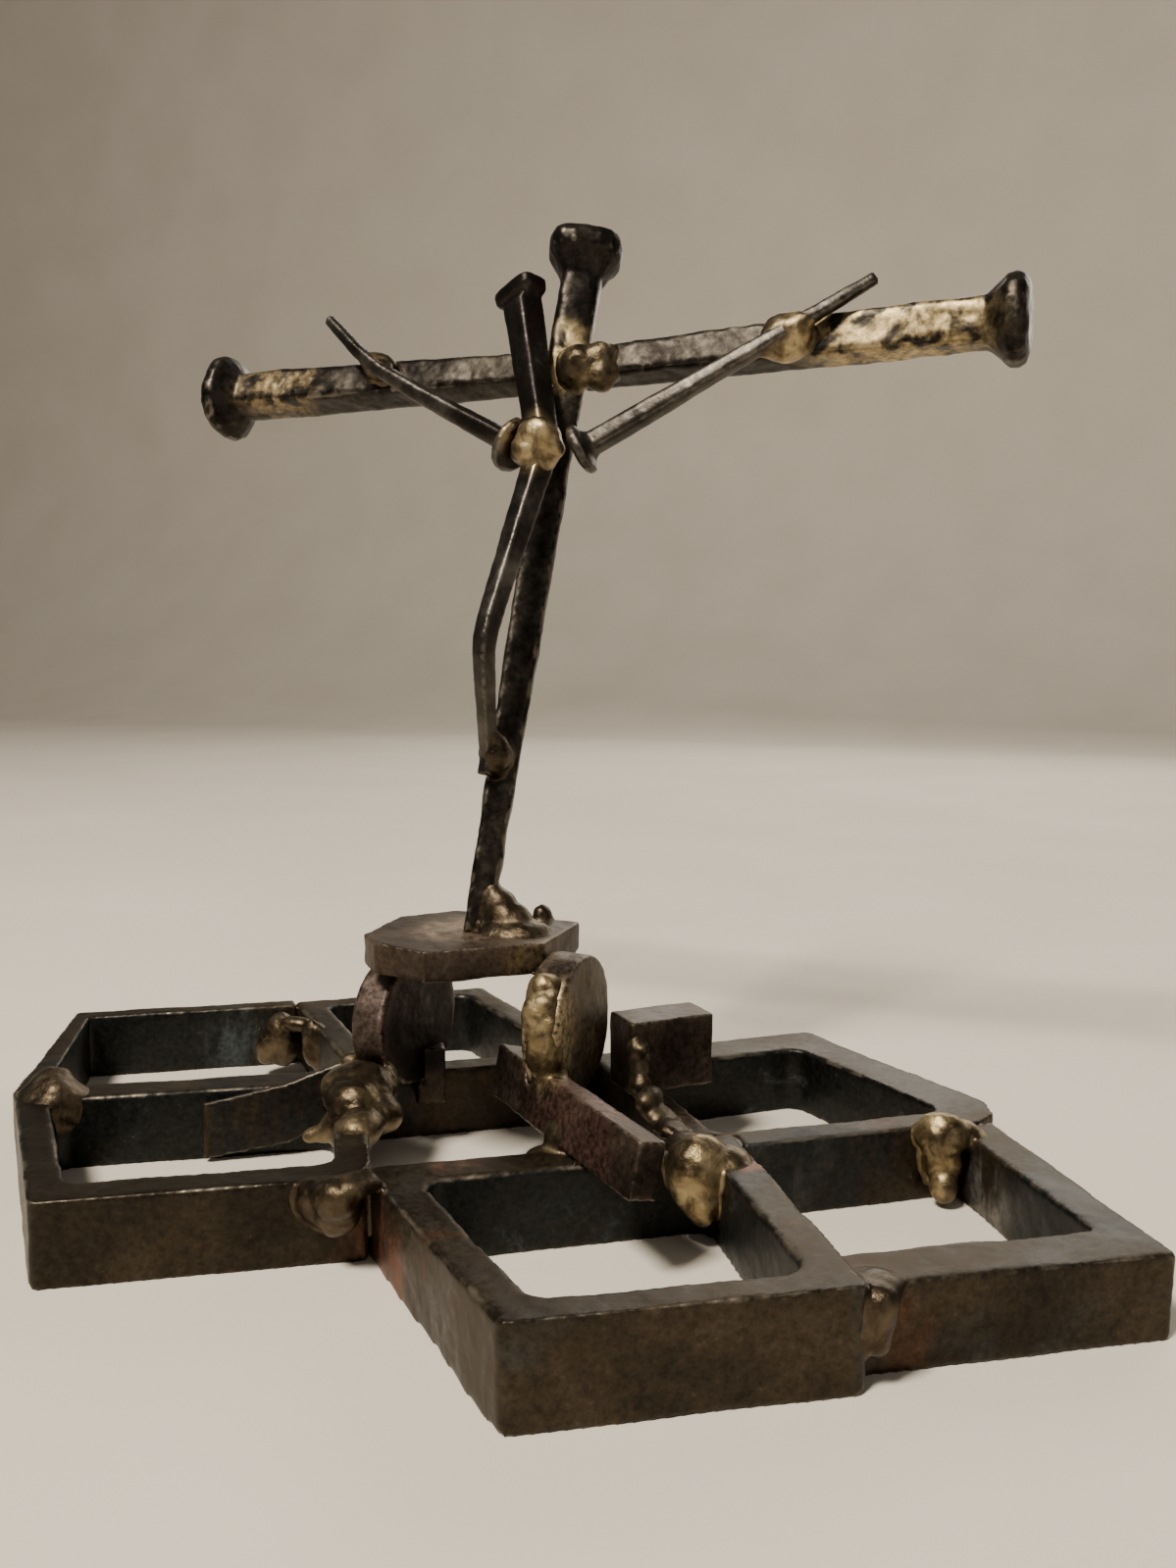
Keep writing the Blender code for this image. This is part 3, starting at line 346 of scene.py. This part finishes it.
class Nodes:
    """A small helper that adds and links nodes of one material."""

    def __init__(self, name):
        self.material = bpy.data.materials.new(name)
        self.material.use_nodes = True
        self.tree = self.material.node_tree
        self.shader = self.tree.nodes["Principled BSDF"]
        self.place = self.tree.nodes.new("ShaderNodeTexCoord").outputs["Object"]

    def add(self, kind, **settings):
        """Add a node with some of its settings."""
        node = self.tree.nodes.new(kind)
        for key, value in settings.items():
            setattr(node, key, value)
        return node

    def link(self, source, target):
        """Link an output to an input."""
        self.tree.links.new(source, target)

    def stretched(self, scale):
        """The object's coordinates, scaled along each axis."""
        mapping = self.add("ShaderNodeMapping")
        mapping.inputs["Scale"].default_value = scale
        self.link(self.place, mapping.inputs["Vector"])
        return mapping.outputs["Vector"]

    def noise(self, scale, detail=5.0, roughness=0.6, distortion=0.0, vector=None):
        """A noise texture, 0 to 1."""
        node = self.add("ShaderNodeTexNoise")
        node.inputs["Scale"].default_value = scale
        node.inputs["Detail"].default_value = detail
        node.inputs["Roughness"].default_value = roughness
        node.inputs["Distortion"].default_value = distortion
        self.link(self.place if vector is None else vector, node.inputs["Vector"])
        return node.outputs["Fac"]

    def ramp(self, factor, stops):
        """A colour ramp through stops of (position, colour)."""
        node = self.add("ShaderNodeValToRGB")
        elements = node.color_ramp.elements
        while len(elements) < len(stops):
            elements.new(0.5)
        for element, (position, colour) in zip(elements, stops):
            element.position = position
            element.color = (*colour, 1.0)
        self.link(factor, node.inputs["Fac"])
        return node.outputs["Color"]

    def band(self, factor, low, high, start=0.0, end=1.0):
        """Map factor smoothly from low..high to start..end."""
        node = self.add("ShaderNodeMapRange", interpolation_type="SMOOTHSTEP")
        node.inputs["From Min"].default_value = low
        node.inputs["From Max"].default_value = high
        node.inputs["To Min"].default_value = start
        node.inputs["To Max"].default_value = end
        self.link(factor, node.inputs["Value"])
        return node.outputs["Result"]

    def math(self, operation, first, second):
        """A clamped sum or product of two sockets, or of a socket and a number."""
        node = self.add("ShaderNodeMath", operation=operation, use_clamp=True)
        for socket, value in zip(node.inputs, (first, second)):
            if isinstance(value, (int, float)):
                socket.default_value = value
            else:
                self.link(value, socket)
        return node.outputs["Value"]

    def mix(self, factor, first, second):
        """A mix of two colours, each a socket or plain numbers."""
        node = self.add("ShaderNodeMix", data_type="RGBA")
        self.link(factor, node.inputs["Factor"])
        for socket, value in ((node.inputs["A"], first), (node.inputs["B"], second)):
            if isinstance(value, tuple):
                socket.default_value = (*value, 1.0)
            else:
                self.link(value, socket)
        return node.outputs["Result"]

    def tinted(self, colour, mask, share, tint):
        """A colour with a share of a tint where the mask is."""
        return self.mix(self.math("MULTIPLY", mask, share), colour, tint)

    def blend(self, main, other):
        """A texture made of more of the main one and less of the other."""
        return self.math("ADD", self.math("MULTIPLY", main, 0.6), self.math("MULTIPLY", other, 0.4))

    def rough(self, main, other, low, high):
        """Roughness from low to high, following two textures."""
        return self.band(self.blend(main, other), 0.35, 0.70, low, high)

    def attribute(self, name):
        """A value stored on the mesh."""
        node = self.add("ShaderNodeAttribute", attribute_name=name)
        return node.outputs["Fac"]

    def near(self, centre, inner, outer):
        """1 within inner of a place and 0 beyond outer."""
        node = self.add("ShaderNodeVectorMath", operation="DISTANCE")
        self.link(self.place, node.inputs[0])
        node.inputs[1].default_value = centre
        return self.band(node.outputs["Value"], inner, outer, 1.0, 0.0)

    def bump(self, height, strength, distance):
        """Fine relief on top of the mesh's own."""
        node = self.add("ShaderNodeBump")
        node.inputs["Strength"].default_value = strength
        node.inputs["Distance"].default_value = distance
        self.link(height, node.inputs["Height"])
        self.link(node.outputs["Normal"], self.shader.inputs["Normal"])

    def finish(self, colour, roughness, metallic):
        """Feed the shader and give back the material."""
        self.link(colour, self.shader.inputs["Base Color"])
        self.shader.inputs["Metallic"].default_value = metallic
        if isinstance(roughness, float):
            self.shader.inputs["Roughness"].default_value = roughness
        else:
            self.link(roughness, self.shader.inputs["Roughness"])
        return self.material


def grain(n, colour, texture, low, high):
    """Darken and lighten a colour by a fine texture, as old scale does."""
    shade = n.add("ShaderNodeMix", data_type="RGBA", blend_type="MULTIPLY")
    shade.inputs["Factor"].default_value = 1.0
    n.link(colour, shade.inputs["A"])
    n.link(n.ramp(texture, ((0.36, (low, low, low)), (0.64, (high, high, high)))), shade.inputs["B"])
    return shade.outputs["Result"]


def heat_tinted(n, colour, strength):
    """Tan and pink marks that the torch left round the beads."""
    heat = n.attribute("heat")
    patches = n.band(n.noise(150, 4, 0.65, 0.6), 0.40, 0.62)
    ring = n.math("MULTIPLY", n.band(heat, 0.25, 0.85), patches)
    colour = n.tinted(colour, ring, strength, (0.150, 0.098, 0.055))
    blotches = n.band(n.noise(78, 3, 0.5, 0.4), 0.57, 0.66)
    pink = n.math("MULTIPLY", n.band(heat, 0.35, 0.75), blotches)
    return n.tinted(colour, pink, strength, (0.230, 0.120, 0.085))


def worn_edges(n, colour, texture, strength, bright):
    """Bare metal along the edges that stand out."""
    edge = n.band(n.attribute("edge"), 0.55, 0.95)
    worn = n.math("MULTIPLY", edge, n.band(texture, 0.42, 0.58))
    return n.tinted(colour, worn, strength, bright)


def marked(n, colour, marks, texture):
    """Lay marks, and painted shade, over a colour, broken up by a texture."""
    for place, inner, outer, tint, share in marks:
        mark = n.math("MULTIPLY", n.near(place, inner, outer), texture)
        colour = n.tinted(colour, mark, share, tint)
    return colour


def slice_material():
    """Tube slices: brown-black mill scale, worn edges, rust and blue heat tints."""
    n = Nodes("mill_scale_tube")
    broad = n.noise(36, 6, 0.62, 0.4)
    fine = n.noise(800, 5, 0.7)
    streak = n.noise(150, 4, 0.6, 0.2, n.stretched((1, 1, 0.35)))
    colour = n.ramp(broad, (
        (0.30, (0.013, 0.010, 0.007)), (0.46, (0.026, 0.020, 0.013)),
        (0.58, (0.044, 0.033, 0.021)), (0.74, (0.068, 0.052, 0.034)),
    ))
    rust = n.band(n.noise(47, 5, 0.65, 0.8), 0.60, 0.72)
    colour = n.tinted(colour, rust, 0.45, (0.110, 0.044, 0.022))
    blue = n.band(n.noise(30, 3, 0.5, 0.6), 0.58, 0.70)
    colour = n.tinted(colour, blue, 0.40, (0.045, 0.058, 0.066))
    inner = n.band(n.attribute("inner"), 0.25, 0.60)
    night = n.math("MULTIPLY", inner, n.band(broad, 0.34, 0.52, 0.55, 1.0))
    colour = n.tinted(colour, night, 0.85, NIGHT_BLUE)
    ash = n.math("MULTIPLY", inner, n.band(n.noise(88, 4, 0.7, 0.5), 0.58, 0.72))
    colour = n.tinted(colour, ash, 0.45, HEAT_BLUE)
    colour = marked(n, colour, SLICE_MARKS, n.band(streak, 0.38, 0.60))
    colour = heat_tinted(n, colour, 0.60)
    colour = n.tinted(colour, n.band(fine, 0.64, 0.76), 0.30, (0.160, 0.130, 0.092))
    colour = grain(n, colour, fine, 0.62, 1.40)
    colour = worn_edges(n, colour, streak, 0.45, (0.250, 0.215, 0.165))
    n.bump(n.blend(fine, streak), 0.30, 0.0003)
    return n.finish(colour, n.rough(broad, fine, 0.34, 0.62), 0.85)


def scrap_material():
    """Plate, discs, bar and block: flame-marked, rusty brown flat stock, with painted shade on the left
    disc's right side face.
    """
    n = Nodes("flame_marked_scrap")
    broad = n.noise(70, 6, 0.62, 0.5)
    fine = n.noise(800, 5, 0.7)
    colour = n.ramp(broad, (
        (0.28, (0.020, 0.015, 0.011)), (0.46, (0.042, 0.030, 0.022)),
        (0.60, (0.072, 0.052, 0.038)), (0.76, (0.115, 0.086, 0.066)),
    ))
    colour = marked(n, colour, SCRAP_MARKS, n.band(fine, 0.34, 0.56))
    colour = heat_tinted(n, colour, 0.45)
    patches = n.band(n.noise(260, 4, 0.6), 0.36, 0.62, 0.25, 1.0)
    burnt = n.math("MULTIPLY", n.near(FOOT, 0.008, 0.0165), patches)
    colour = n.tinted(colour, burnt, 0.80, (0.330, 0.250, 0.175))
    colour = grain(n, colour, fine, 0.60, 1.40)
    colour = worn_edges(n, colour, fine, 0.40, (0.260, 0.215, 0.165))
    n.bump(fine, 0.28, 0.0003)
    return n.finish(colour, n.rough(broad, fine, 0.34, 0.60), 0.82)


def spike_material():
    """Cross spikes: dark forged steel with polished high spots and brass wash, and painted shade on the
    upright's head.
    """
    n = Nodes("forged_spike")
    broad = n.noise(85, 6, 0.65, 0.4)
    fine = n.noise(620, 5, 0.7)
    dents = n.noise(240, 3, 0.5, 0.3)
    colour = n.ramp(broad, (
        (0.28, (0.010, 0.008, 0.007)), (0.46, (0.019, 0.016, 0.013)),
        (0.60, (0.031, 0.027, 0.021)), (0.76, (0.054, 0.046, 0.036)),
    ))
    colour = marked(n, colour, SPIKE_MARKS, n.band(dents, 0.36, 0.56))
    colour = heat_tinted(n, colour, 0.40)
    colour = grain(n, colour, fine, 0.50, 1.50)
    colour = worn_edges(n, colour, dents, 0.40, (0.260, 0.225, 0.175))
    n.bump(n.blend(dents, fine), 0.32, 0.0004)
    return n.finish(colour, n.rough(broad, dents, 0.34, 0.56), 0.92)


def nail_material():
    """Figure nails: smoother steel, with painted shade at the neck, and lighter where it is rubbed."""
    n = Nodes("figure_nail")
    broad = n.noise(95, 6, 0.62, 0.3)
    fine = n.noise(700, 4, 0.6)
    colour = n.ramp(broad, (
        (0.28, (0.018, 0.016, 0.014)), (0.46, (0.045, 0.040, 0.034)),
        (0.60, (0.090, 0.082, 0.070)), (0.76, (0.165, 0.150, 0.128)),
    ))
    colour = worn_edges(n, colour, fine, 0.16, (0.360, 0.325, 0.265))
    colour = marked(n, colour, NAIL_MARKS, n.band(fine, 0.30, 0.50, 0.6, 1.0))
    n.bump(fine, 0.30, 0.0003)
    return n.finish(colour, n.rough(broad, fine, 0.32, 0.54), 0.94)


def braze_material():
    """Poured brass that fades into burnt brown scale away from the bead."""
    n = Nodes("poured_braze")
    broad = n.noise(150, 5, 0.62, 0.6)
    fine = n.noise(900, 4, 0.65)
    brown = n.ramp(broad, (
        (0.30, (0.024, 0.018, 0.012)), (0.50, (0.060, 0.045, 0.028)), (0.72, (0.125, 0.096, 0.062)),
    ))
    gold = n.ramp(broad, (
        (0.30, (0.110, 0.080, 0.038)), (0.48, (0.270, 0.205, 0.105)), (0.68, (0.500, 0.400, 0.225)),
    ))
    patches = n.band(n.noise(135, 4, 0.6, 0.8), 0.40, 0.62)
    golden = n.math("MULTIPLY", n.band(n.attribute("bead"), 0.30, 1.0), n.math("ADD", patches, 0.15))
    colour = n.mix(golden, brown, gold)
    soot = n.band(n.noise(210, 5, 0.7, 0.5), 0.58, 0.70)
    colour = n.tinted(colour, soot, 0.60, (0.030, 0.022, 0.014))
    crust = n.noise(480, 5, 0.7, 0.4)
    n.bump(n.blend(crust, broad), 0.55, 0.0006)
    return n.finish(colour, n.rough(broad, fine, 0.28, 0.56), 0.93)


# Worked meshes


def settle(piece):
    """Apply a piece's modifiers to its mesh."""
    bpy.context.view_layer.update()
    graph = bpy.context.evaluated_depsgraph_get()
    mesh = bpy.data.meshes.new_from_object(piece.evaluated_get(graph), depsgraph=graph)
    mesh.name = piece.name
    piece.modifiers.clear()
    piece.data = mesh


def soften(piece, facet, steps):
    """Remesh a piece finely, and smooth it."""
    remesh = piece.modifiers.new("remesh", "REMESH")
    remesh.mode = "VOXEL"
    remesh.voxel_size = facet
    smooth = piece.modifiers.new("smooth", "SMOOTH")
    smooth.factor = SMOOTHING
    smooth.iterations = steps
    settle(piece)


def coat(piece, material):
    """Give a piece its material and smooth shading."""
    piece.data.materials.clear()
    piece.data.materials.append(material)
    piece.data.shade_smooth()


def arrays(mesh):
    """Points and normals of a mesh."""
    count = len(mesh.vertices)
    points = np.empty(count * 3, np.float32)
    normals = np.empty(count * 3, np.float32)
    mesh.vertices.foreach_get("co", points)
    mesh.vertex_normals.foreach_get("vector", normals)
    return points.reshape(-1, 3).astype(float), normals.reshape(-1, 3).astype(float)


def push_out(piece, points, normals, shift):
    """Move a piece's points along their normals."""
    places = points + normals * shift[:, None]
    piece.data.vertices.foreach_set("co", places.astype(np.float32).ravel())
    piece.data.update()


def store(piece, name, values):
    """Keep one value for each point of a piece, as an attribute."""
    layer = piece.data.attributes.new(name, "FLOAT", "POINT")
    layer.data.foreach_set("value", values.astype(np.float32))


def lattice_noise(points, scale, seed):
    """Smooth value noise at the points, about -1 to 1, from a seeded lattice."""
    table = np.random.default_rng(seed).uniform(-1, 1, LATTICE_SIZE)
    cells = points / scale + seed * LATTICE_SHIFT
    base = np.floor(cells).astype(np.int64)
    t = cells - base
    t = t * t * (3 - 2 * t)
    total = np.zeros(len(points))
    for corner in np.ndindex(2, 2, 2):
        key = 0
        weight = 1
        for axis, step in enumerate(corner):
            key = key ^ ((base[:, axis] + step) * LATTICE_PRIMES[axis])
            weight = weight * (t[:, axis] if step else 1 - t[:, axis])
        total += weight * table[key & (LATTICE_SIZE - 1)]
    return total


def wave_depths(points, waves, seed):
    """The sum of a few waves of noise at the points, each (scale, depth)."""
    total = np.zeros(len(points))
    for number, (scale, depth) in enumerate(waves):
        total += depth * lattice_noise(points, scale, seed + number * WAVE_SEED_STEP)
    return total


def mark_edges(piece, reach):
    """Store how much each point stands out from its neighbours, as the attribute edge."""
    mesh = piece.data
    points, normals = arrays(mesh)
    pairs = np.empty(len(mesh.edges) * 2, np.int32)
    mesh.edges.foreach_get("vertices", pairs)
    pairs = pairs.reshape(-1, 2)
    count = np.bincount(pairs.ravel(), minlength=len(points)).astype(float)[:, None]
    spread = points.copy()
    for _ in range(reach):
        total = np.zeros_like(spread)
        np.add.at(total, pairs[:, 0], spread[pairs[:, 1]])
        np.add.at(total, pairs[:, 1], spread[pairs[:, 0]])
        spread = total / np.maximum(count, 1)
    out = ((points - spread) * normals).sum(axis=1)
    high = np.quantile(out, EDGE_QUANTILE)
    store(piece, "edge", np.clip(out / max(high, 1e-9), 0, 1))


def mark_heat(piece):
    """Store how close each point lies to a bead, as the attribute heat."""
    points, _ = arrays(piece.data)
    nearest = np.full(len(points), 1.0)
    for name in BEADS:
        low, high = node_bounds(name)
        radius = (high - low).length / 4
        away = np.linalg.norm(points - np.array(middle(name)), axis=1) - radius
        nearest = np.minimum(nearest, away)
    store(piece, "heat", np.clip(1 - nearest / HEAT_REACH, 0, 1))


def mark_inner(piece, name):
    """Store how squarely each point faces its own piece's middle, as the attribute inner."""
    points, normals = arrays(piece.data)
    inward = np.array(middle(name)) - points
    inward[:, 2] = 0
    inward /= np.maximum(np.linalg.norm(inward, axis=1), 1e-6)[:, None]
    store(piece, "inner", np.clip((inward * normals).sum(axis=1), 0, 1))


def worked_piece(name, finish, material, seed):
    """One steel piece that stands for its CAD node."""
    facet, smoothing, waves, reach = finish
    piece = bpy.data.objects.new(name + "_worked", node_of(name).data.copy())
    bpy.context.scene.collection.objects.link(piece)
    soften(piece, facet, smoothing)
    points, normals = arrays(piece.data)
    push_out(piece, points, normals, wave_depths(points, waves, seed))
    mark_edges(piece, reach)
    mark_heat(piece)
    mark_inner(piece, name)
    coat(piece, material)
    return piece


# Beads: brass melted over the steel beside it


def append_solid(target, source, matrix=None, swell=0.0):
    """Add a closed mesh to a bmesh, grown along its normals."""
    part = bmesh.new()
    part.from_mesh(source)
    if matrix is not None:
        part.transform(matrix)
    part.normal_update()
    if swell:
        moves = [vert.normal * swell for vert in part.verts]
        for vert, move in zip(part.verts, moves):
            vert.co += move
    part.verts.index_update()
    places = [target.verts.new(vert.co) for vert in part.verts]
    for face in part.faces:
        corners = [places[vert.index] for vert in face.verts]
        if target.faces.get(corners) is None:
            target.faces.new(corners)
    part.free()


def append_lobe(target, centre, radii):
    """Add an ellipsoid to a bmesh."""
    matrix = Matrix.Translation(centre) @ Matrix.Diagonal((*radii, 1.0))
    bmesh.ops.create_icosphere(target, subdivisions=LOBE_SUBDIVISIONS, radius=1.0, matrix=matrix)


def mesh_object(name, filled):
    """An object made of a bmesh, which is freed."""
    mesh = bpy.data.meshes.new(name)
    filled.to_mesh(mesh)
    filled.free()
    made = bpy.data.objects.new(name, mesh)
    bpy.context.scene.collection.objects.link(made)
    return made


def bead_core(name, lobes, centre):
    """The bead alone: its solid, drawn in a little, and its lobes."""
    core = bmesh.new()
    if name in frame["nodes"]:
        share = BEAD_SHARE.get(name, USUAL_SHARE)
        drawn_in = Matrix.Diagonal((share, share, share, 1))
        matrix = Matrix.Translation(centre) @ drawn_in @ Matrix.Translation(-centre)
        append_solid(core, node_of(name).data, matrix)
    for place, radii in lobes:
        append_lobe(core, centre + Vector(place) / 1000, Vector(radii) / 1000)
    return core


def volume_of(mesh):
    """Volume of a mesh, and 0 for an empty one."""
    filled = bmesh.new()
    filled.from_mesh(mesh)
    volume = filled.calc_volume()
    filled.free()
    return volume


def cut_by_ball(solid, centre, radius):
    """A copy of a mesh, cut down to what lies inside a ball."""
    piece = bpy.data.objects.new("within", solid.copy())
    bpy.context.scene.collection.objects.link(piece)
    ball = bmesh.new()
    append_lobe(ball, centre, (radius, radius, radius))
    cutter = mesh_object("reach", ball)
    cut = piece.modifiers.new("within reach", "BOOLEAN")
    cut.operation = "INTERSECT"
    cut.solver = "EXACT"
    cut.use_self = True
    cut.object = cutter
    settle(piece)
    kept = piece.data
    bpy.data.objects.remove(cutter)
    bpy.data.objects.remove(piece)
    return kept


def part_within(name, centre, radius):
    """The part of a steel solid inside a ball, or nothing where it lies outside.

    A failed cut leaves the whole solid or the whole ball, and then a slightly larger ball is tried.
    """
    solid = node_of(name).data
    for stretch in BALL_STRETCHES:
        reach = radius * stretch
        kept = cut_by_ball(solid, centre, reach)
        volume = volume_of(kept)
        if volume < NO_VOLUME:
            return None
        fullest = FULLEST_BALL * UNIT_BALL * reach ** 3
        if volume < volume_of(solid) * WHOLE_SOLID and volume < fullest:
            return kept
    return None


def is_near(name, centre, radius):
    """Whether a node's box comes within a distance of a place along every axis."""
    low, high = node_bounds(name)
    return all(low[i] < centre[i] + radius and high[i] > centre[i] - radius for i in range(3))


def steel_beside(core, target):
    """Add the steel within reach of a bead to a bmesh."""
    points = [vert.co.copy() for vert in core.verts]
    low, high = box_of(points)
    centre = (low + high) / 2
    radius = max((point - centre).length for point in points) + MELT_REACH
    for name in STEEL:
        if name in TOO_THIN_TO_MELT or not is_near(name, centre, radius):
            continue
        kept = part_within(name, centre, radius)
        if kept is not None:
            append_solid(target, kept, swell=STEEL_SWELL)


def closeness_to(tree, points):
    """1 on a bead's surface, falling smoothly to 0 at the reach of the melt."""
    away = np.array([tree.find_nearest(Vector(point))[3] for point in points])
    close = np.clip(1 - away / MELT_REACH, 0, 1)
    return close * close * (3 - 2 * close)


def melted_bead(name, lobes, centre, material, seed):
    """A bead flowing over the steel: joined, softened together, and sunk away from the bead."""
    core = bead_core(name, lobes, centre)
    tree = BVHTree.FromBMesh(core)
    melt = core.copy()
    steel_beside(core, melt)
    core.free()
    piece = mesh_object(name + "_poured", melt)
    soften(piece, BRAZE_FACET, FLOW_STEPS)
    points, normals = arrays(piece.data)
    close = closeness_to(tree, points)
    shift = BRAZE_SUNK + (BRAZE_PROUD - BRAZE_SUNK) * close
    shift += close * wave_depths(points, BRAZE_WAVES, seed)
    push_out(piece, points, normals, shift)
    store(piece, "bead", close * GOLDEN.get(name, USUAL_GOLD))
    coat(piece, material)
    return piece


def dress_pieces():
    """Give every node its worked or poured piece."""
    materials = {
        "slice": slice_material(),
        "scrap": scrap_material(),
        "spike": spike_material(),
        "nail": nail_material(),
    }
    for number, name in enumerate(STEEL):
        slot = SLOTS[name]
        piece = worked_piece(name, FINISHES[slot], materials[slot], number + STEEL_SEED)
        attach(piece, "root")
        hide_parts(name)
    brass = braze_material()
    for number, name in enumerate(BEADS):
        piece = melted_bead(name, LOBES.get(name, ()), middle(name), brass, number + BEAD_SEED)
        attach(piece, "root")
        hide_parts(name)
    drip = melted_bead("disc_drip", DISC_DRIP, middle("right_disc"), brass, DRIP_SEED)
    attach(drip, "root")


# Stage: floor, light and camera


def floor_profile():
    """The floor from the side, as (y, z): flat, then curved up behind into a wall."""
    profile = [(FLOOR_FRONT, 0.0), (FLOOR_BACK, 0.0)]
    for step in range(1, COVE_STEPS + 1):
        angle = math.pi / 2 * step / COVE_STEPS
        along = FLOOR_BACK + COVE_RADIUS * math.sin(angle)
        profile.append((along, COVE_RADIUS - COVE_RADIUS * math.cos(angle)))
    profile.append((FLOOR_BACK + COVE_RADIUS, WALL_TOP))
    return profile


def make_floor():
    """A plain pale floor that curves up behind, far from the object."""
    profile = floor_profile()
    points = [(side * FLOOR_HALF_WIDTH, y, z) for y, z in profile for side in (-1, 1)]
    faces = [(2 * i, 2 * i + 1, 2 * i + 3, 2 * i + 2) for i in range(len(profile) - 1)]
    mesh = bpy.data.meshes.new("floor")
    mesh.from_pydata(points, [], faces)
    mesh.shade_smooth()
    n = Nodes("pale_floor")
    colour = n.ramp(n.noise(9, 3, 0.5), ((0.3, (0.66, 0.61, 0.53)), (0.7, (0.71, 0.66, 0.58))))
    mesh.materials.append(n.finish(colour, 0.85, 0.0))
    floor = bpy.data.objects.new("floor", mesh)
    bpy.context.scene.collection.objects.link(floor)


def area_light(name, place, size, power, colour):
    """A soft rectangular light aimed at the middle of the part."""
    data = bpy.data.lights.new(name, "AREA")
    data.shape = "RECTANGLE"
    data.size, data.size_y = size
    data.energy = power
    data.color = colour
    light = bpy.data.objects.new(name, data)
    bpy.context.scene.collection.objects.link(light)
    light.location = place
    light.rotation_euler = (LIGHT_TARGET - place).to_track_quat("-Z", "Y").to_euler()


def make_lights():
    """A warm key from the front left, high, a weak fill, a light behind, and a dim pale room."""
    for name, place, size, power, colour in LIGHTS:
        area_light(name, place, size, power, colour)
    world = bpy.data.worlds.new("room")
    world.use_nodes = True
    background = world.node_tree.nodes["Background"]
    background.inputs["Color"].default_value = ROOM_COLOUR
    background.inputs["Strength"].default_value = ROOM_STRENGTH
    bpy.context.scene.world = world


def camera_turn():
    """The camera's axes, from its azimuth, pitch and roll."""
    forward = Vector((
        -math.sin(CAMERA_AZIMUTH) * math.cos(CAMERA_PITCH),
        math.cos(CAMERA_AZIMUTH) * math.cos(CAMERA_PITCH),
        -math.sin(CAMERA_PITCH),
    ))
    level_right = Vector((math.cos(CAMERA_AZIMUTH), math.sin(CAMERA_AZIMUTH), 0))
    level_up = level_right.cross(forward)
    right = level_right * math.cos(CAMERA_ROLL) + level_up * math.sin(CAMERA_ROLL)
    up = level_up * math.cos(CAMERA_ROLL) - level_right * math.sin(CAMERA_ROLL)
    return Matrix((right, up, -forward)).transposed().to_4x4()


def make_camera():
    """The photograph's lens, place, pitch and roll."""
    data = bpy.data.cameras.new("photo_camera")
    data.sensor_fit = "AUTO"
    data.sensor_width = SENSOR * 1000
    data.lens = FOCAL_PIXELS / PHOTO_HEIGHT * SENSOR * 1000
    data.clip_start = 0.01
    data.clip_end = 20
    data.dof.use_dof = False
    camera = bpy.data.objects.new("photo_camera", data)
    bpy.context.scene.collection.objects.link(camera)
    place = Vector((FOOT.x + CAMERA_RIGHT_OF_FOOT, FOOT.y - CAMERA_FRONT_OF_FOOT, CAMERA_HEIGHT))
    camera.matrix_world = Matrix.Translation(place) @ camera_turn()
    bpy.context.scene.camera = camera


dress_pieces()
make_floor()
make_lights()
make_camera()
